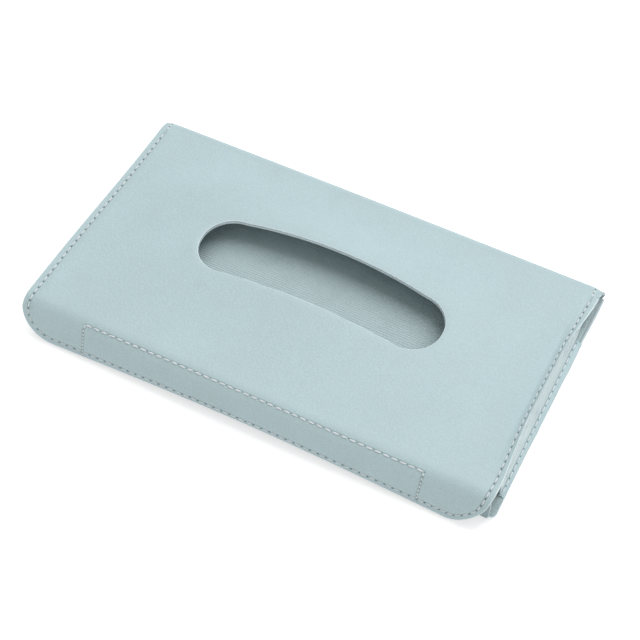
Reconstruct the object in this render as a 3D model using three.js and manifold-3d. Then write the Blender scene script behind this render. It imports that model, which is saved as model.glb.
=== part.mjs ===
import * as THREE from 'three';
import { mergeVertices } from 'three/addons/utils/BufferGeometryUtils.js';
import Module from 'manifold-3d';

// A flat leather holder for tissues in a car, closed and empty, lying on its back.
// Lengths are millimetres. X runs along the long side, Y from the magnet end to the
// fold, and Z up from the surface it lies on. The back's bottom crease is at Y zero
// until the last lines centre the whole holder.

// Sheets and the room between them
const holderWidth = 240;
const skinThickness = 0.9;
const boardThickness = 1;
const liningThickness = 0.5;
const layerGap = 0.1;
const movingGap = 0.3;

// Visor bands under the back
const bandWidth = 25;
const bandThickness = 1;
const bandSpacing = 120;
const bandEndInset = 9;

// Back panel
const backLength = 127.8;
const backCornerRadius = 3;
const backBoardInset = 4;
const backLiningInset = 0.4;

// Fold along the top, round the flap's hinge line
const foldGap = 0.3;
const foldEndInset = 0.6;

// Side strips, sewn over the back's edges, that hold the wings
const stripWidth = 2.8;
const stripThickness = 0.8;
const stripBottomInset = 10.5;
const stripTopInset = 28.5;
const stripSeamInset = 1.7;

// Side wings
const wingThickness = 0.7;
const wingLeanDegrees = 10;
const wingEndInset = 0.5;
const wingTopInset = 1.5;

// Bottom wall that stands inside the flap's end
const creaseInnerRadius = 0.2;
const wallDegrees = 86;
const wallSideInset = 2.6;
const wallBoardMargin = 0.4;
const wallBoardSideInset = 12;
const wallSeamInset = 1.6;
const wallToFlapGap = 1.3;

// Magnets in the wall and in the flap's end
const magnetCount = 4;
const magnetDiameter = 8;
const magnetEndInset = 23;
const magnetRim = 0.4;
const magnetClearance = 0.3;

// Front flap
const flapSideInset = 0.8;
const flapEndDegrees = 71;
const flapBendRadius = 7.5;
const flapEndClearance = 1.2;
const flapCornerRadius = 16;
const flapBoardInset = 7;
const flapLiningInset = 0.4;
const crownRise = 8.5;
const crownFromFold = 42;
const endCrownRise = 3.4;

// Slot that the tissues come through
const slotLength = 126;
const slotWidth = 31;
const slotFromFold = 58;
const slotBoardInset = 2;
const slotCutOverrun = 20;

// Seams
const threadWidth = 0.7;
const threadThickness = 0.2;
const seamInset = 3.3;
const pocketWidth = 172;
const pocketHeight = 15.8;

// How finely curved forms are divided
const panelSteps = 24;
const bendSteps = 8;
const cornerSteps = 8;
const acrossSteps = 24;
const arcSteps = 10;
const magnetSides = 24;
const slotSteps = 12;
const seamSteps = 14;

// Materials
const finish = (colour, roughness, metalness = 0) =>
  new THREE.MeshStandardMaterial({ color: colour, roughness, metalness });
const leather = finish(0xb9d1d5, 0.55);
const liningCloth = finish(0xaebfc5, 0.9);
const wingCloth = finish(0xd2dfe4, 0.9);
const stiffBoard = finish(0x3a3d40, 0.7);
const magnetSteel = finish(0xb8bbbe, 0.3, 1);
const sewingThread = finish(0xd3dfe3, 0.8);
const elastic = finish(0x9db4b9, 0.85);

const wasm = await Module();
wasm.setup();

// Levels of the layers, from the bands up
const skinBase = bandThickness + layerGap;
const backBoardBase = skinBase + skinThickness + layerGap;
const backLiningBase = backBoardBase + boardThickness + layerGap;
const backTop = backLiningBase + liningThickness;
const stripBase = backTop + layerGap;
const stripTop = stripBase + stripThickness;
const halfWidth = holderWidth / 2;

// Depths of the flap's layers below its outer face
const flapBoardDepth = skinThickness + layerGap;
const flapLiningDepth = flapBoardDepth + boardThickness + layerGap;
const flapThickness = flapLiningDepth + liningThickness;

// The fold's axis lies half way between the back's underside and the closed flap's top
const flapFoldTop = backTop + foldGap + flapThickness;
const foldAxisZ = (skinBase + flapFoldTop) / 2;
const foldRadius = foldAxisZ - skinBase;

// Directions up and out of the wall
const wallAngle = THREE.MathUtils.degToRad(wallDegrees);
const wallUp = new THREE.Vector2(Math.cos(wallAngle), Math.sin(wallAngle));
const wallOut = new THREE.Vector2(-Math.sin(wallAngle), Math.cos(wallAngle));

// The wall turns about the bottom crease
const creaseRadius = creaseInnerRadius + skinThickness;
const wallAxis = new THREE.Vector2(0, skinBase + creaseRadius);
const wallBoardOut = creaseInnerRadius - layerGap;
const wallLiningOut = wallBoardOut - boardThickness - layerGap;
const wallInnerOut = wallLiningOut - liningThickness;
const wallSkinStart = Math.hypot(creaseRadius, creaseInnerRadius) + movingGap;
const wallFootZ = backTop + movingGap;
const wallLiningStart = (wallFootZ - wallAxis.y - wallInnerOut * wallOut.y) / wallUp.y;
const magnetBoardHeight = magnetDiameter + 2 * (magnetClearance + magnetRim);
const wallBoardStart = wallLiningStart + wallBoardMargin;
const wallTop = wallBoardStart + magnetBoardHeight + wallBoardMargin;
const magnetLevel = wallBoardStart + magnetBoardHeight / 2;

const onWall = (up, out) =>
  wallAxis.clone().addScaledVector(wallUp, up).addScaledVector(wallOut, out);

// The flap's side outline. It leaves the fold, rises along the panel, bends over the
// crest and runs down outside the wall, nearest to it at the wall's top. Lengths along
// it start at the fold.
const endAngle = THREE.MathUtils.degToRad(flapEndDegrees);
const endOut = new THREE.Vector2(-Math.sin(endAngle), Math.cos(endAngle));
const bendFoot = onWall(wallTop, creaseRadius)
  .addScaledVector(endOut, wallToFlapGap + flapThickness);
const flapStart = new THREE.Vector2(
  backLength - Math.hypot(foldRadius, movingGap) - movingGap, flapFoldTop);

const bendStartFor = (slope) => new THREE.Vector2(
  bendFoot.x + flapBendRadius * (Math.sin(endAngle) + Math.sin(slope)),
  bendFoot.y + flapBendRadius * (Math.cos(slope) - Math.cos(endAngle)));

// The panel's slope and the bend's start depend on each other, so they are settled together
const slopePasses = 20;
let panelSlope = 0;
for (let pass = 0; pass < slopePasses; pass += 1) {
  const start = bendStartFor(panelSlope);
  panelSlope = Math.atan2(start.y - flapStart.y, flapStart.x - start.x);
}
const bendStart = bendStartFor(panelSlope);
const panelLength = bendStart.distanceTo(flapStart);
const bendLength = flapBendRadius * (endAngle + panelSlope);
const endLength = (bendFoot.y - flapEndClearance) / Math.sin(endAngle);
const flapLength = panelLength + bendLength + endLength;
const flapHalfWidth = halfWidth - flapSideInset;
const slotY = backLength - slotFromFold;

// A place on the side outline, with the outward direction there
function outlineAt(along) {
  const bendAlong = THREE.MathUtils.clamp(along - panelLength, 0, bendLength);
  const heading = panelSlope - bendAlong / flapBendRadius;
  const place = flapStart.clone();
  const panelAlong = Math.min(along, panelLength);
  place.x -= panelAlong * Math.cos(panelSlope);
  place.y += panelAlong * Math.sin(panelSlope);
  place.x -= flapBendRadius * (Math.sin(panelSlope) - Math.sin(heading));
  place.y += flapBendRadius * (Math.cos(heading) - Math.cos(panelSlope));
  const endAlong = Math.max(along - panelLength - bendLength, 0);
  place.x -= endAlong * Math.cos(heading);
  place.y += endAlong * Math.sin(heading);
  return { place, out: new THREE.Vector2(Math.sin(heading), Math.cos(heading)) };
}

// How far the flap's middle stands above its sides. The panel is arched, the crest is
// straight, and the end's lower edge is drawn up again.
function crownAt(along) {
  const quarter = Math.PI / 2;
  if (along < crownFromFold) return crownRise * Math.sin(quarter * along / crownFromFold) ** 2;
  if (along < panelLength) {
    const past = (along - crownFromFold) / (panelLength - crownFromFold);
    return crownRise * Math.cos(quarter * past) ** 2;
  }
  return endCrownRise * (along - panelLength) / (flapLength - panelLength);
}

// A point of the flap, given across, along and its depth below the outer face
function flapPoint(across, along, depth) {
  const { place, out } = outlineAt(along);
  const rise = crownAt(along) * (1 - (across / flapHalfWidth) ** 2) ** 2;
  return new THREE.Vector3(across, place.x - out.x * depth, place.y - out.y * depth + rise);
}

// A layer's half width, with the free corners rounded
function roundedHalfWidth(along, end, half, radius) {
  const into = along - (end - radius);
  if (into <= 0) return half;
  return half - radius + Math.sqrt(Math.max(radius * radius - into * into, 0));
}

// Lengths along the flap where its grid has a line
function flapStations(start, end, radius) {
  const stations = [start, end];
  for (let i = 1; i < panelSteps; i += 1) stations.push(panelLength * i / panelSteps);
  for (let i = 0; i <= bendSteps; i += 1) stations.push(panelLength + bendLength * i / bendSteps);
  for (let i = 0; i < cornerSteps; i += 1) {
    stations.push(end - radius + radius * Math.sin((Math.PI / 2) * i / cornerSteps));
  }
  const inside = stations.filter((along) => along >= start && along <= end);
  inside.sort((a, b) => a - b);
  return inside.filter((along, i) => i === 0 || along - inside[i - 1] > layerGap);
}

// A closed body from a grid of top and bottom points, each row with as many columns
function gridSolid(topRows, bottomRows) {
  const rows = topRows.length;
  const columns = topRows[0].length;
  const points = [...topRows.flat(), ...bottomRows.flat()];
  const top = (row, column) => row * columns + column;
  const bottom = (row, column) => rows * columns + top(row, column);
  const faces = [];
  const quad = (a, b, c, d) => faces.push(a, b, c, a, c, d);
  for (let row = 0; row < rows - 1; row += 1) {
    for (let column = 0; column < columns - 1; column += 1) {
      quad(top(row, column), top(row + 1, column), top(row + 1, column + 1), top(row, column + 1));
      quad(bottom(row, column), bottom(row, column + 1),
        bottom(row + 1, column + 1), bottom(row + 1, column));
    }
    quad(top(row, 0), bottom(row, 0), bottom(row + 1, 0), top(row + 1, 0));
    const last = columns - 1;
    quad(top(row, last), top(row + 1, last), bottom(row + 1, last), bottom(row, last));
  }
  for (let column = 0; column < columns - 1; column += 1) {
    const last = rows - 1;
    quad(top(0, column), top(0, column + 1), bottom(0, column + 1), bottom(0, column));
    quad(top(last, column), bottom(last, column), bottom(last, column + 1), top(last, column + 1));
  }
  const geometry = new THREE.BufferGeometry().setFromPoints(points);
  geometry.setIndex(faces);
  return geometry;
}

// One layer of the flap, between two depths and two lengths along it
function flapLayer({ start, end, half, radius, depth, thickness }) {
  const stations = flapStations(start, end, radius);
  const rowsAt = (level) => stations.map((along) => {
    const reach = roundedHalfWidth(along, end, half, radius);
    const row = [];
    for (let i = 0; i <= acrossSteps; i += 1) {
      row.push(flapPoint(reach * (2 * i / acrossSteps - 1), along, level));
    }
    return row;
  });
  return gridSolid(rowsAt(depth), rowsAt(depth + thickness));
}

// Manifold solids for cutting, and back again
function toManifold(geometry) {
  const bare = geometry.clone();
  bare.deleteAttribute('normal');
  bare.deleteAttribute('uv');
  const merged = mergeVertices(bare);
  return new wasm.Manifold(new wasm.Mesh({
    numProp: 3,
    vertProperties: new Float32Array(merged.attributes.position.array),
    triVerts: new Uint32Array(merged.index.array),
  }));
}

function toGeometry(solid) {
  const mesh = solid.getMesh();
  const geometry = new THREE.BufferGeometry();
  geometry.setAttribute('position', new THREE.BufferAttribute(mesh.vertProperties, 3));
  geometry.setIndex(new THREE.BufferAttribute(mesh.triVerts, 1));
  return geometry;
}

const cutAway = (geometry, cutters) =>
  toGeometry(cutters.reduce((solid, cutter) => solid.subtract(toManifold(cutter)), toManifold(geometry)));

// Extrusions upwards and along X
const extruded = (shape, depth, curveSegments) =>
  new THREE.ExtrudeGeometry(shape, { depth, bevelEnabled: false, curveSegments });
const crossToX = new THREE.Matrix4().makeBasis(
  new THREE.Vector3(0, 1, 0), new THREE.Vector3(0, 0, 1), new THREE.Vector3(1, 0, 0));
const extrudedAlongX = (shape, half, curveSegments = arcSteps) =>
  extruded(shape, 2 * half, curveSegments).applyMatrix4(crossToX).translate(-half, 0, 0);

const boxBetween = (low, high) => new THREE.BoxGeometry(
  high.x - low.x, high.y - low.y, high.z - low.z,
).translate((low.x + high.x) / 2, (low.y + high.y) / 2, (low.z + high.z) / 2);

function roundedPanel(left, right, bottom, top, radius) {
  const shape = new THREE.Shape();
  shape.moveTo(left, top);
  shape.lineTo(left, bottom + radius);
  shape.absarc(left + radius, bottom + radius, radius, Math.PI, 1.5 * Math.PI);
  shape.absarc(right - radius, bottom + radius, radius, 1.5 * Math.PI, 2 * Math.PI);
  shape.lineTo(right, top);
  return shape;
}

const quarterTurn = Math.PI / 2;
function ringSector(centre, outer, inner, from, to) {
  const shape = new THREE.Shape();
  shape.absarc(centre.x, centre.y, outer, from, to);
  shape.absarc(centre.x, centre.y, inner, to, from, true);
  return shape;
}

const root = new THREE.Group();
const holder = new THREE.Group();
root.add(holder);

function addPiece(name, geometry, material, parent = holder) {
  geometry.computeVertexNormals();
  const mesh = new THREE.Mesh(geometry, material);
  mesh.name = name;
  parent.add(mesh);
  return mesh;
}

const sides = [{ side: 'left', sign: -1 }, { side: 'right', sign: 1 }];

// Back panel, with its stiff board and lining, and the bands that go round a visor
function addBack() {
  const skin = roundedPanel(-halfWidth, halfWidth, layerGap, backLength - layerGap, backCornerRadius);
  addPiece('back_skin', extruded(skin, skinThickness, arcSteps).translate(0, 0, skinBase), leather);
  const boardHalf = halfWidth - backBoardInset;
  addPiece('back_board', boxBetween(
    new THREE.Vector3(-boardHalf, backBoardInset, backBoardBase),
    new THREE.Vector3(boardHalf, backLength - backBoardInset, backBoardBase + boardThickness),
  ), stiffBoard);
  const liningHalf = halfWidth - backLiningInset;
  const lining = roundedPanel(-liningHalf, liningHalf, backLiningInset,
    backLength - backLiningInset, backCornerRadius);
  addPiece('back_lining', extruded(lining, liningThickness, arcSteps)
    .translate(0, 0, backLiningBase), liningCloth);
  for (const { side, sign } of sides) {
    const centre = sign * bandSpacing / 2;
    addPiece(`${side}_visor_band`, boxBetween(
      new THREE.Vector3(centre - bandWidth / 2, bandEndInset, 0),
      new THREE.Vector3(centre + bandWidth / 2, backLength - bandEndInset, bandThickness),
    ), elastic);
  }
}

// Leather round the fold, and round the bottom crease
function addFolds() {
  const foldCentre = new THREE.Vector2(backLength, foldAxisZ);
  const fold = ringSector(foldCentre, foldRadius, foldRadius - skinThickness, -quarterTurn, quarterTurn);
  addPiece('fold_spine', extrudedAlongX(fold, halfWidth - foldEndInset), leather);
  const crease = ringSector(wallAxis, creaseRadius, creaseInnerRadius,
    quarterTurn + wallAngle, 3 * quarterTurn);
  addPiece('bottom_crease', extrudedAlongX(crease, halfWidth - backCornerRadius), leather);
}

// Side strips and the wings that they hold
const stripEnd = backLength - stripTopInset;
const wingAxisX = halfWidth - stripWidth + wingThickness / 2;
const wingAxisZ = stripTop + threadThickness + movingGap / 2 + wingThickness / 2;

// The flap's inner face above a point at its side edge
const flapUnderside = (y) => flapStart.y + (flapStart.x - y) * Math.tan(panelSlope)
  - flapThickness / Math.cos(panelSlope);

function addStripsAndWings() {
  const wingStart = stripBottomInset + wingEndInset;
  const wingEnd = stripEnd - wingEndInset;
  const wingRise = (y) => flapUnderside(y) - movingGap - wingAxisZ;
  const low = -wingThickness / 2;
  for (const { side, sign } of sides) {
    const outer = sign * halfWidth;
    const inner = outer - sign * stripWidth;
    addPiece(`${side}_side_strip`, boxBetween(
      new THREE.Vector3(Math.min(outer, inner), stripBottomInset, stripBase),
      new THREE.Vector3(Math.max(outer, inner), stripEnd, stripTop),
    ), leather);
    const seam = outer - sign * stripSeamInset;
    addPiece(`${side}_strip_thread`, boxBetween(
      new THREE.Vector3(seam - threadWidth / 2, stripBottomInset + threadWidth, stripTop),
      new THREE.Vector3(seam + threadWidth / 2, stripEnd - threadWidth, stripTop + threadThickness),
    ), sewingThread);
    const outline = new THREE.Shape([
      new THREE.Vector2(wingStart, low),
      new THREE.Vector2(wingEnd, low),
      new THREE.Vector2(wingEnd - wingTopInset, wingRise(wingEnd - wingTopInset)),
      new THREE.Vector2(wingStart + wingTopInset, wingRise(wingStart + wingTopInset)),
    ]);
    const wing = addPiece(`${side}_wing`, extrudedAlongX(outline, wingThickness / 2), wingCloth);
    wing.position.set(sign * wingAxisX, 0, wingAxisZ);
    wing.rotation.y = -sign * THREE.MathUtils.degToRad(wingLeanDegrees);
  }
}

// A slab of the wall, between two heights up the end and two distances out
function wallSlab(half, up, upEnd, out, outEnd) {
  const corners = [onWall(up, out), onWall(up, outEnd), onWall(upEnd, outEnd), onWall(upEnd, out)];
  return extrudedAlongX(new THREE.Shape(corners.reverse()), half);
}

// A disc on a sheet that stands at an angle to the back, with its axis square to the sheet
function standingDisc(radius, thickness, angle) {
  const disc = new THREE.CylinderGeometry(radius, radius, thickness, magnetSides);
  return disc.rotateX(angle + quarterTurn);
}

const magnetPitch = (pocketWidth - 2 * magnetEndInset) / (magnetCount - 1);
const magnetPlaces = Array.from({ length: magnetCount }, (_, i) =>
  (i - (magnetCount - 1) / 2) * magnetPitch);

// Bottom wall, which carries the magnets that the flap's end holds on to
function addWall() {
  const half = halfWidth - wallSideInset;
  addPiece('wall_skin', wallSlab(half, wallSkinStart, wallTop,
    creaseInnerRadius, creaseRadius), leather);
  addPiece('wall_lining', wallSlab(half, wallLiningStart, wallTop,
    wallInnerOut, wallLiningOut), liningCloth);
  const holeRadius = magnetDiameter / 2 + magnetClearance;
  const middle = wallBoardOut - boardThickness / 2;
  const centre = onWall(magnetLevel, middle);
  const holes = magnetPlaces.map((x) =>
    standingDisc(holeRadius, 2 * boardThickness, wallAngle).translate(x, centre.x, centre.y));
  const board = wallSlab(half - wallBoardSideInset, wallBoardStart, wallTop - wallBoardMargin,
    wallBoardOut - boardThickness, wallBoardOut);
  addPiece('wall_board', cutAway(board, holes), stiffBoard);
  magnetPlaces.forEach((x, i) => addPiece(`wall_magnet_${i + 1}`,
    standingDisc(magnetDiameter / 2, boardThickness, wallAngle)
      .translate(x, centre.x, centre.y), magnetSteel));
  const seamUp = wallTop - wallSeamInset;
  addPiece('wall_thread', wallSlab(half - wallSeamInset, seamUp - threadWidth / 2,
    seamUp + threadWidth / 2, creaseRadius, creaseRadius + threadThickness), sewingThread);
}

// Rounded slot through the flap's panel
function slotCutter(inset) {
  const radius = slotWidth / 2 + inset;
  const straight = (slotLength - slotWidth) / 2;
  const shape = new THREE.Shape();
  shape.absarc(straight, slotY, radius, -quarterTurn, quarterTurn);
  shape.absarc(-straight, slotY, radius, quarterTurn, 3 * quarterTurn);
  return extruded(shape, flapFoldTop + crownRise + slotCutOverrun, slotSteps);
}

// A flat ribbon of stitches that follows a path over the flap's outer face
function seamRibbon(path) {
  const lift = layerGap;
  const topRows = [];
  const bottomRows = [];
  path.forEach((spot, i) => {
    const before = path[Math.max(i - 1, 0)];
    const after = path[Math.min(i + 1, path.length - 1)];
    const heading = after.clone().sub(before).normalize();
    const first = i === 0 || i === path.length - 1;
    const entering = first ? heading : spot.clone().sub(before).normalize();
    const leaving = first ? heading : after.clone().sub(spot).normalize();
    const spread = 1 / Math.max(Math.cos(entering.angleTo(leaving) / 2), Math.SQRT1_2);
    const sideways = new THREE.Vector2(-heading.y, heading.x)
      .multiplyScalar(spread * threadWidth / 2);
    const edges = [spot.clone().add(sideways), spot.clone().sub(sideways)];
    topRows.push(edges.map((edge) => flapPoint(edge.x, edge.y, -lift - threadThickness)));
    bottomRows.push(edges.map((edge) => flapPoint(edge.x, edge.y, -lift)));
  });
  return gridSolid(topRows, bottomRows);
}

// Points of the row that runs round the flap's three free edges
function edgeSeamPath() {
  const half = flapHalfWidth - seamInset;
  const end = flapLength - seamInset;
  const radius = flapCornerRadius - seamInset;
  const stations = flapStations(seamInset, end, radius);
  const right = stations.map((along) =>
    new THREE.Vector2(roundedHalfWidth(along, end, half, radius), along));
  const across = [];
  const reach = half - radius;
  for (let i = 1; i < seamSteps; i += 1) {
    across.push(new THREE.Vector2(reach * (1 - 2 * i / seamSteps), end));
  }
  const left = right.map((spot) => new THREE.Vector2(-spot.x, spot.y)).reverse();
  return [...right, ...across, ...left];
}

// Points of the row that closes the magnet pocket above the edge row
function pocketSeamPath() {
  const half = pocketWidth / 2;
  const low = flapLength - seamInset - threadWidth - movingGap;
  const high = flapLength - seamInset - pocketHeight;
  const rise = flapStations(high, low, threadWidth).filter((along) => along > high && along < low);
  const right = [low, ...rise.reverse(), high].map((along) => new THREE.Vector2(half, along));
  const across = [];
  for (let i = 1; i < seamSteps; i += 1) {
    across.push(new THREE.Vector2(half * (1 - 2 * i / seamSteps), high));
  }
  const left = right.map((spot) => new THREE.Vector2(-spot.x, spot.y)).reverse();
  return [...right, ...across, ...left];
}

// Front flap, from the fold over the crest and down outside the wall
function addFlap() {
  const skin = flapLayer({
    start: 0, end: flapLength, half: flapHalfWidth, radius: flapCornerRadius,
    depth: 0, thickness: skinThickness,
  });
  addPiece('flap_skin', cutAway(skin, [slotCutter(0)]), leather);
  const board = flapLayer({
    start: flapBoardInset, end: panelLength - flapBoardInset / 2,
    half: flapHalfWidth - flapBoardInset, radius: flapBoardInset,
    depth: flapBoardDepth, thickness: boardThickness,
  });
  addPiece('flap_board', cutAway(board, [slotCutter(slotBoardInset)]), stiffBoard);
  const lining = flapLayer({
    start: foldRadius, end: flapLength - flapLiningInset,
    half: flapHalfWidth - flapLiningInset, radius: flapCornerRadius - flapLiningInset,
    depth: flapLiningDepth, thickness: liningThickness,
  });
  addPiece('flap_lining', cutAway(lining, [slotCutter(0)]), liningCloth);
  addPiece('flap_thread', seamRibbon(edgeSeamPath()), sewingThread);
  addPiece('pocket_thread', seamRibbon(pocketSeamPath()), sewingThread);
}

// Magnets in the flap's end, with the board that spaces them
function addFlapMagnets() {
  const bendEnd = flapLength - endLength;
  const centreAlong = bendEnd + (wallTop - magnetLevel);
  const depth = flapBoardDepth + boardThickness / 2;
  const radius = magnetDiameter / 2;
  const holeRadius = radius + magnetClearance;
  const seats = magnetPlaces.map((x) => {
    const upper = flapPoint(x, centreAlong - radius, depth);
    const lower = flapPoint(x, centreAlong + radius, depth);
    const angle = Math.atan2(upper.z - lower.z, upper.y - lower.y);
    return { place: upper.clone().add(lower).divideScalar(2), angle };
  });
  // The end is drawn up in the middle, which shortens it there, so the board gets more height
  const shortening = endCrownRise / (flapLength - panelLength);
  const reach = magnetBoardHeight / 2 / (1 - shortening);
  const board = flapLayer({
    start: centreAlong - reach, end: centreAlong + reach,
    half: (pocketWidth - magnetBoardHeight) / 2, radius: magnetRim,
    depth: flapBoardDepth, thickness: boardThickness,
  });
  const holes = seats.map(({ place, angle }) =>
    standingDisc(holeRadius, 2 * boardThickness, angle).translate(place.x, place.y, place.z));
  addPiece('magnet_board', cutAway(board, holes), stiffBoard);
  seats.forEach(({ place, angle }, i) => addPiece(`flap_magnet_${i + 1}`,
    standingDisc(radius, boardThickness, angle)
      .translate(place.x, place.y, place.z), magnetSteel));
}

addBack();
addFolds();
addStripsAndWings();
addWall();
addFlap();
addFlapMagnets();

// The origin is under the middle of the whole holder
const foldFront = backLength + foldRadius;
const flapFront = outlineAt(flapLength).place.x;
holder.position.y = -(foldFront + flapFront) / 2;

export default root;
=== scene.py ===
# %% [markdown]
# # Car tissue holder
#
# A flat leather holder for a pack of car tissues lies on its back, with the front flap closed.
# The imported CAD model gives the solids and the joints. This script dresses them with leather,
# cloth, stitches and webbing, in the same frame.
#
# The holder's lengths are millimetres, with the bottom crease at y = 0, as leather is measured
# on a bench. A helper turns them into metres in the row frame when a mesh is made. Node inputs,
# the floor, the lamps and the camera use metres, as Blender does.

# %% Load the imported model
import math
import bmesh
import bpy
import numpy as np
from mathutils import Matrix, Vector


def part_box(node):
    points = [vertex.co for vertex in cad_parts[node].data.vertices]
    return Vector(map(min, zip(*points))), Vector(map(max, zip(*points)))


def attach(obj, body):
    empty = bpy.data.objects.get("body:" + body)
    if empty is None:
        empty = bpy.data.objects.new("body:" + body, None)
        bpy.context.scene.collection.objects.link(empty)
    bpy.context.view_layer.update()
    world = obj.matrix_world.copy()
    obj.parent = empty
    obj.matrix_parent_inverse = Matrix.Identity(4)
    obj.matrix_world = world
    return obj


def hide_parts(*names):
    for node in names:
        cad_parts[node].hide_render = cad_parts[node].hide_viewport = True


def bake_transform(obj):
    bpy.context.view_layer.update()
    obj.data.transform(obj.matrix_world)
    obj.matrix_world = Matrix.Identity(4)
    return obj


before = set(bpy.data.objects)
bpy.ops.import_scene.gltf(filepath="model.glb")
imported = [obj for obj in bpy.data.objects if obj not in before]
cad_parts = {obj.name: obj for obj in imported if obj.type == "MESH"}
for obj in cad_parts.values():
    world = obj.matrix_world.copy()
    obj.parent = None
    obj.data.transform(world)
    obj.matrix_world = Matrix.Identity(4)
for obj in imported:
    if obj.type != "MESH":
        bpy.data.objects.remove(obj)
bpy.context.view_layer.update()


# %% [markdown]
# ## Sizes
#
# These are the driving sizes of the CAD model, with a few that only this scene has, such as the
# bow of the slot. They could be measured on the solids, but a named value is easier to read.
# Every dressed piece takes its place from them, so that it fits the solid that it stands for.

# %% Sizes of the back, the fold and the wall
MM = 0.001
HALF_WIDTH = 120.0
BACK_LENGTH = 127.8
SKIN = 0.9
LINING = 0.5
SKIN_BASE = 1.1
LINING_BASE = 3.2
STRIP_TOP = 4.6

FOLD_RADIUS = 2.75
FOLD_AXIS = (BACK_LENGTH, 3.85)
FOLD_CREST = BACK_LENGTH + FOLD_RADIUS
CREASE_TO_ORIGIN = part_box("fold_spine")[1][1] / MM - FOLD_CREST
CREASE_RADIUS = 1.1
WALL_AXIS = (0.0, 2.2)
WALL_ANGLE = math.radians(86)
WALL_TOP = 12.109
WALL_HALF = 117.4
print("bottom crease in the row frame, mm:", round(CREASE_TO_ORIGIN, 3))

# %% Sizes of the flap, its slot and its seams
FLAP_START = (124.7337, 6.6)
PANEL_SLOPE = math.radians(6.63135)
PANEL_LENGTH = 121.5294
FOLD_FLAT = BACK_LENGTH - FLAP_START[0]
START_LIFT = FOLD_FLAT * math.tan(PANEL_SLOPE) / 2
BEND_RADIUS = 7.5
BEND_LENGTH = 10.1619
FLAP_LENGTH = 146.9488
FLAP_HALF = 119.2
CORNER_RADIUS = 16.0
CROWN_RISE = 8.5
CROWN_FROM_FOLD = 42.0
END_CROWN_RISE = 3.4

SLOT_ALONG = 55.3
SLOT_RADIUS = 15.5
SLOT_STRAIGHT = 47.5
SLOT_BOW_UPPER = 1.5
SLOT_BOW_LOWER = 0.4
SLOT_MIDDLE_HIGH = 0.8
SLOT_ENDS_LOW = 2.7
SLOT_FAR_WIDER = 1.1

SEAM_INSET = 3.3
STITCH_PITCH = 4.1
POCKET_HALF = 86.0
POCKET_HEIGHT = 16.9
POCKET_TOP = FLAP_LENGTH - SEAM_INSET - POCKET_HEIGHT
print("slot, mm:", 2 * (SLOT_STRAIGHT + SLOT_RADIUS), "by", 2 * SLOT_RADIUS)

# %% [markdown]
# ## The flap's surface
#
# The real flap is one sheet of leather over board. It leaves the fold, rises along the panel,
# bends over the crest and runs down the front. Its middle is arched, to give the tissues room.
#
# Such a sheet could be sculpted, or bent with a lattice. A formula is used here, because the
# leather, the board, the lining and the stitches can then all be laid on one surface, each at
# its own depth.

# %% Side view and arch of the flap
START_FADE = 12.0


def smoothstep(t):
    t = np.clip(t, 0.0, 1.0)
    return t * t * (3 - 2 * t)


def outline_at(along):
    """Height and place of the flap seen from the side, and its heading, along from the fold."""
    bend = np.clip(along - PANEL_LENGTH, 0, BEND_LENGTH)
    heading = PANEL_SLOPE - bend / BEND_RADIUS
    panel = np.minimum(along, PANEL_LENGTH)
    end = np.maximum(along - PANEL_LENGTH - BEND_LENGTH, 0)
    y = FLAP_START[0] - panel * math.cos(PANEL_SLOPE)
    y = y - BEND_RADIUS * (math.sin(PANEL_SLOPE) - np.sin(heading)) - end * np.cos(heading)
    z = FLAP_START[1] + panel * math.sin(PANEL_SLOPE)
    z = z + BEND_RADIUS * (np.cos(heading) - math.cos(PANEL_SLOPE)) + end * np.sin(heading)
    return y, z + START_LIFT * np.exp(-(np.maximum(along, 0) / START_FADE) ** 2), heading


def crown_at(along):
    """Rise of the arch on the flap's middle line."""
    rising = np.sin(math.pi / 2 * np.clip(along / CROWN_FROM_FOLD, 0, 1)) ** 2
    past = (along - CROWN_FROM_FOLD) / (PANEL_LENGTH - CROWN_FROM_FOLD)
    falling = np.cos(math.pi / 2 * np.clip(past, 0, 1)) ** 2
    end = END_CROWN_RISE * (along - PANEL_LENGTH) / (FLAP_LENGTH - PANEL_LENGTH)
    panel = CROWN_RISE * np.where(along < CROWN_FROM_FOLD, rising, falling)
    return np.where(along < PANEL_LENGTH, panel, end)


print("arch at its highest, mm:", float(crown_at(CROWN_FROM_FOLD)))

# %% [markdown]
# Leather doesn't stay as it was cut. In the photo the right margin is drawn in and turned up,
# the corner at the right of the magnet end is pulled inwards, the left side spreads a little,
# and the top left corner is rounded. Each of these is one term that fades out to nothing.

# %% Margins and corners that have moved
CURL_REACH = 7.0
CURL_LIFT = 4.5
CURL_LIFT_POWER = 1.2
CURL_DRAW_IN = 3.2
CURL_DRAW_POWER = 1.3
CURL_MIDDLE = 66.0
CURL_FLAT = 18.5
CURL_FADE_TOP = 40.0
CURL_FADE_END = 52.0
CORNER_DRAW_IN = 8.1
CORNER_SIDE, CORNER_END = 44.0, 32.4
LEFT_SPREAD = 1.2
SPREAD_START, SPREAD_FADE = 20.0, 80.0
END_TUCK = 0.9
TUCK_HALF = 100.0
TOP_LEFT_ROUND = 3.6
TOP_LEFT_REACH = 9.5
TOP_LEFT_START = 108.0


def curl_at(y):
    """1 where the right margin is fully turned up, 0 where it lies flat."""
    fade = np.where(y > CURL_MIDDLE, CURL_FADE_TOP, CURL_FADE_END)
    return 1 - smoothstep((np.abs(y - CURL_MIDDLE) - CURL_FLAT) / fade)


def top_left_round(x, y):
    """How far the fold's left end is drawn in, which rounds the corner in plan."""
    share = np.clip((y - FOLD_CREST + TOP_LEFT_REACH) / TOP_LEFT_REACH, 0, 1)
    near_end = smoothstep((-x - TOP_LEFT_START) / (FLAP_HALF - TOP_LEFT_START))
    return TOP_LEFT_ROUND * (1 - np.sqrt(1 - share ** 2)) * near_end


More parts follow.
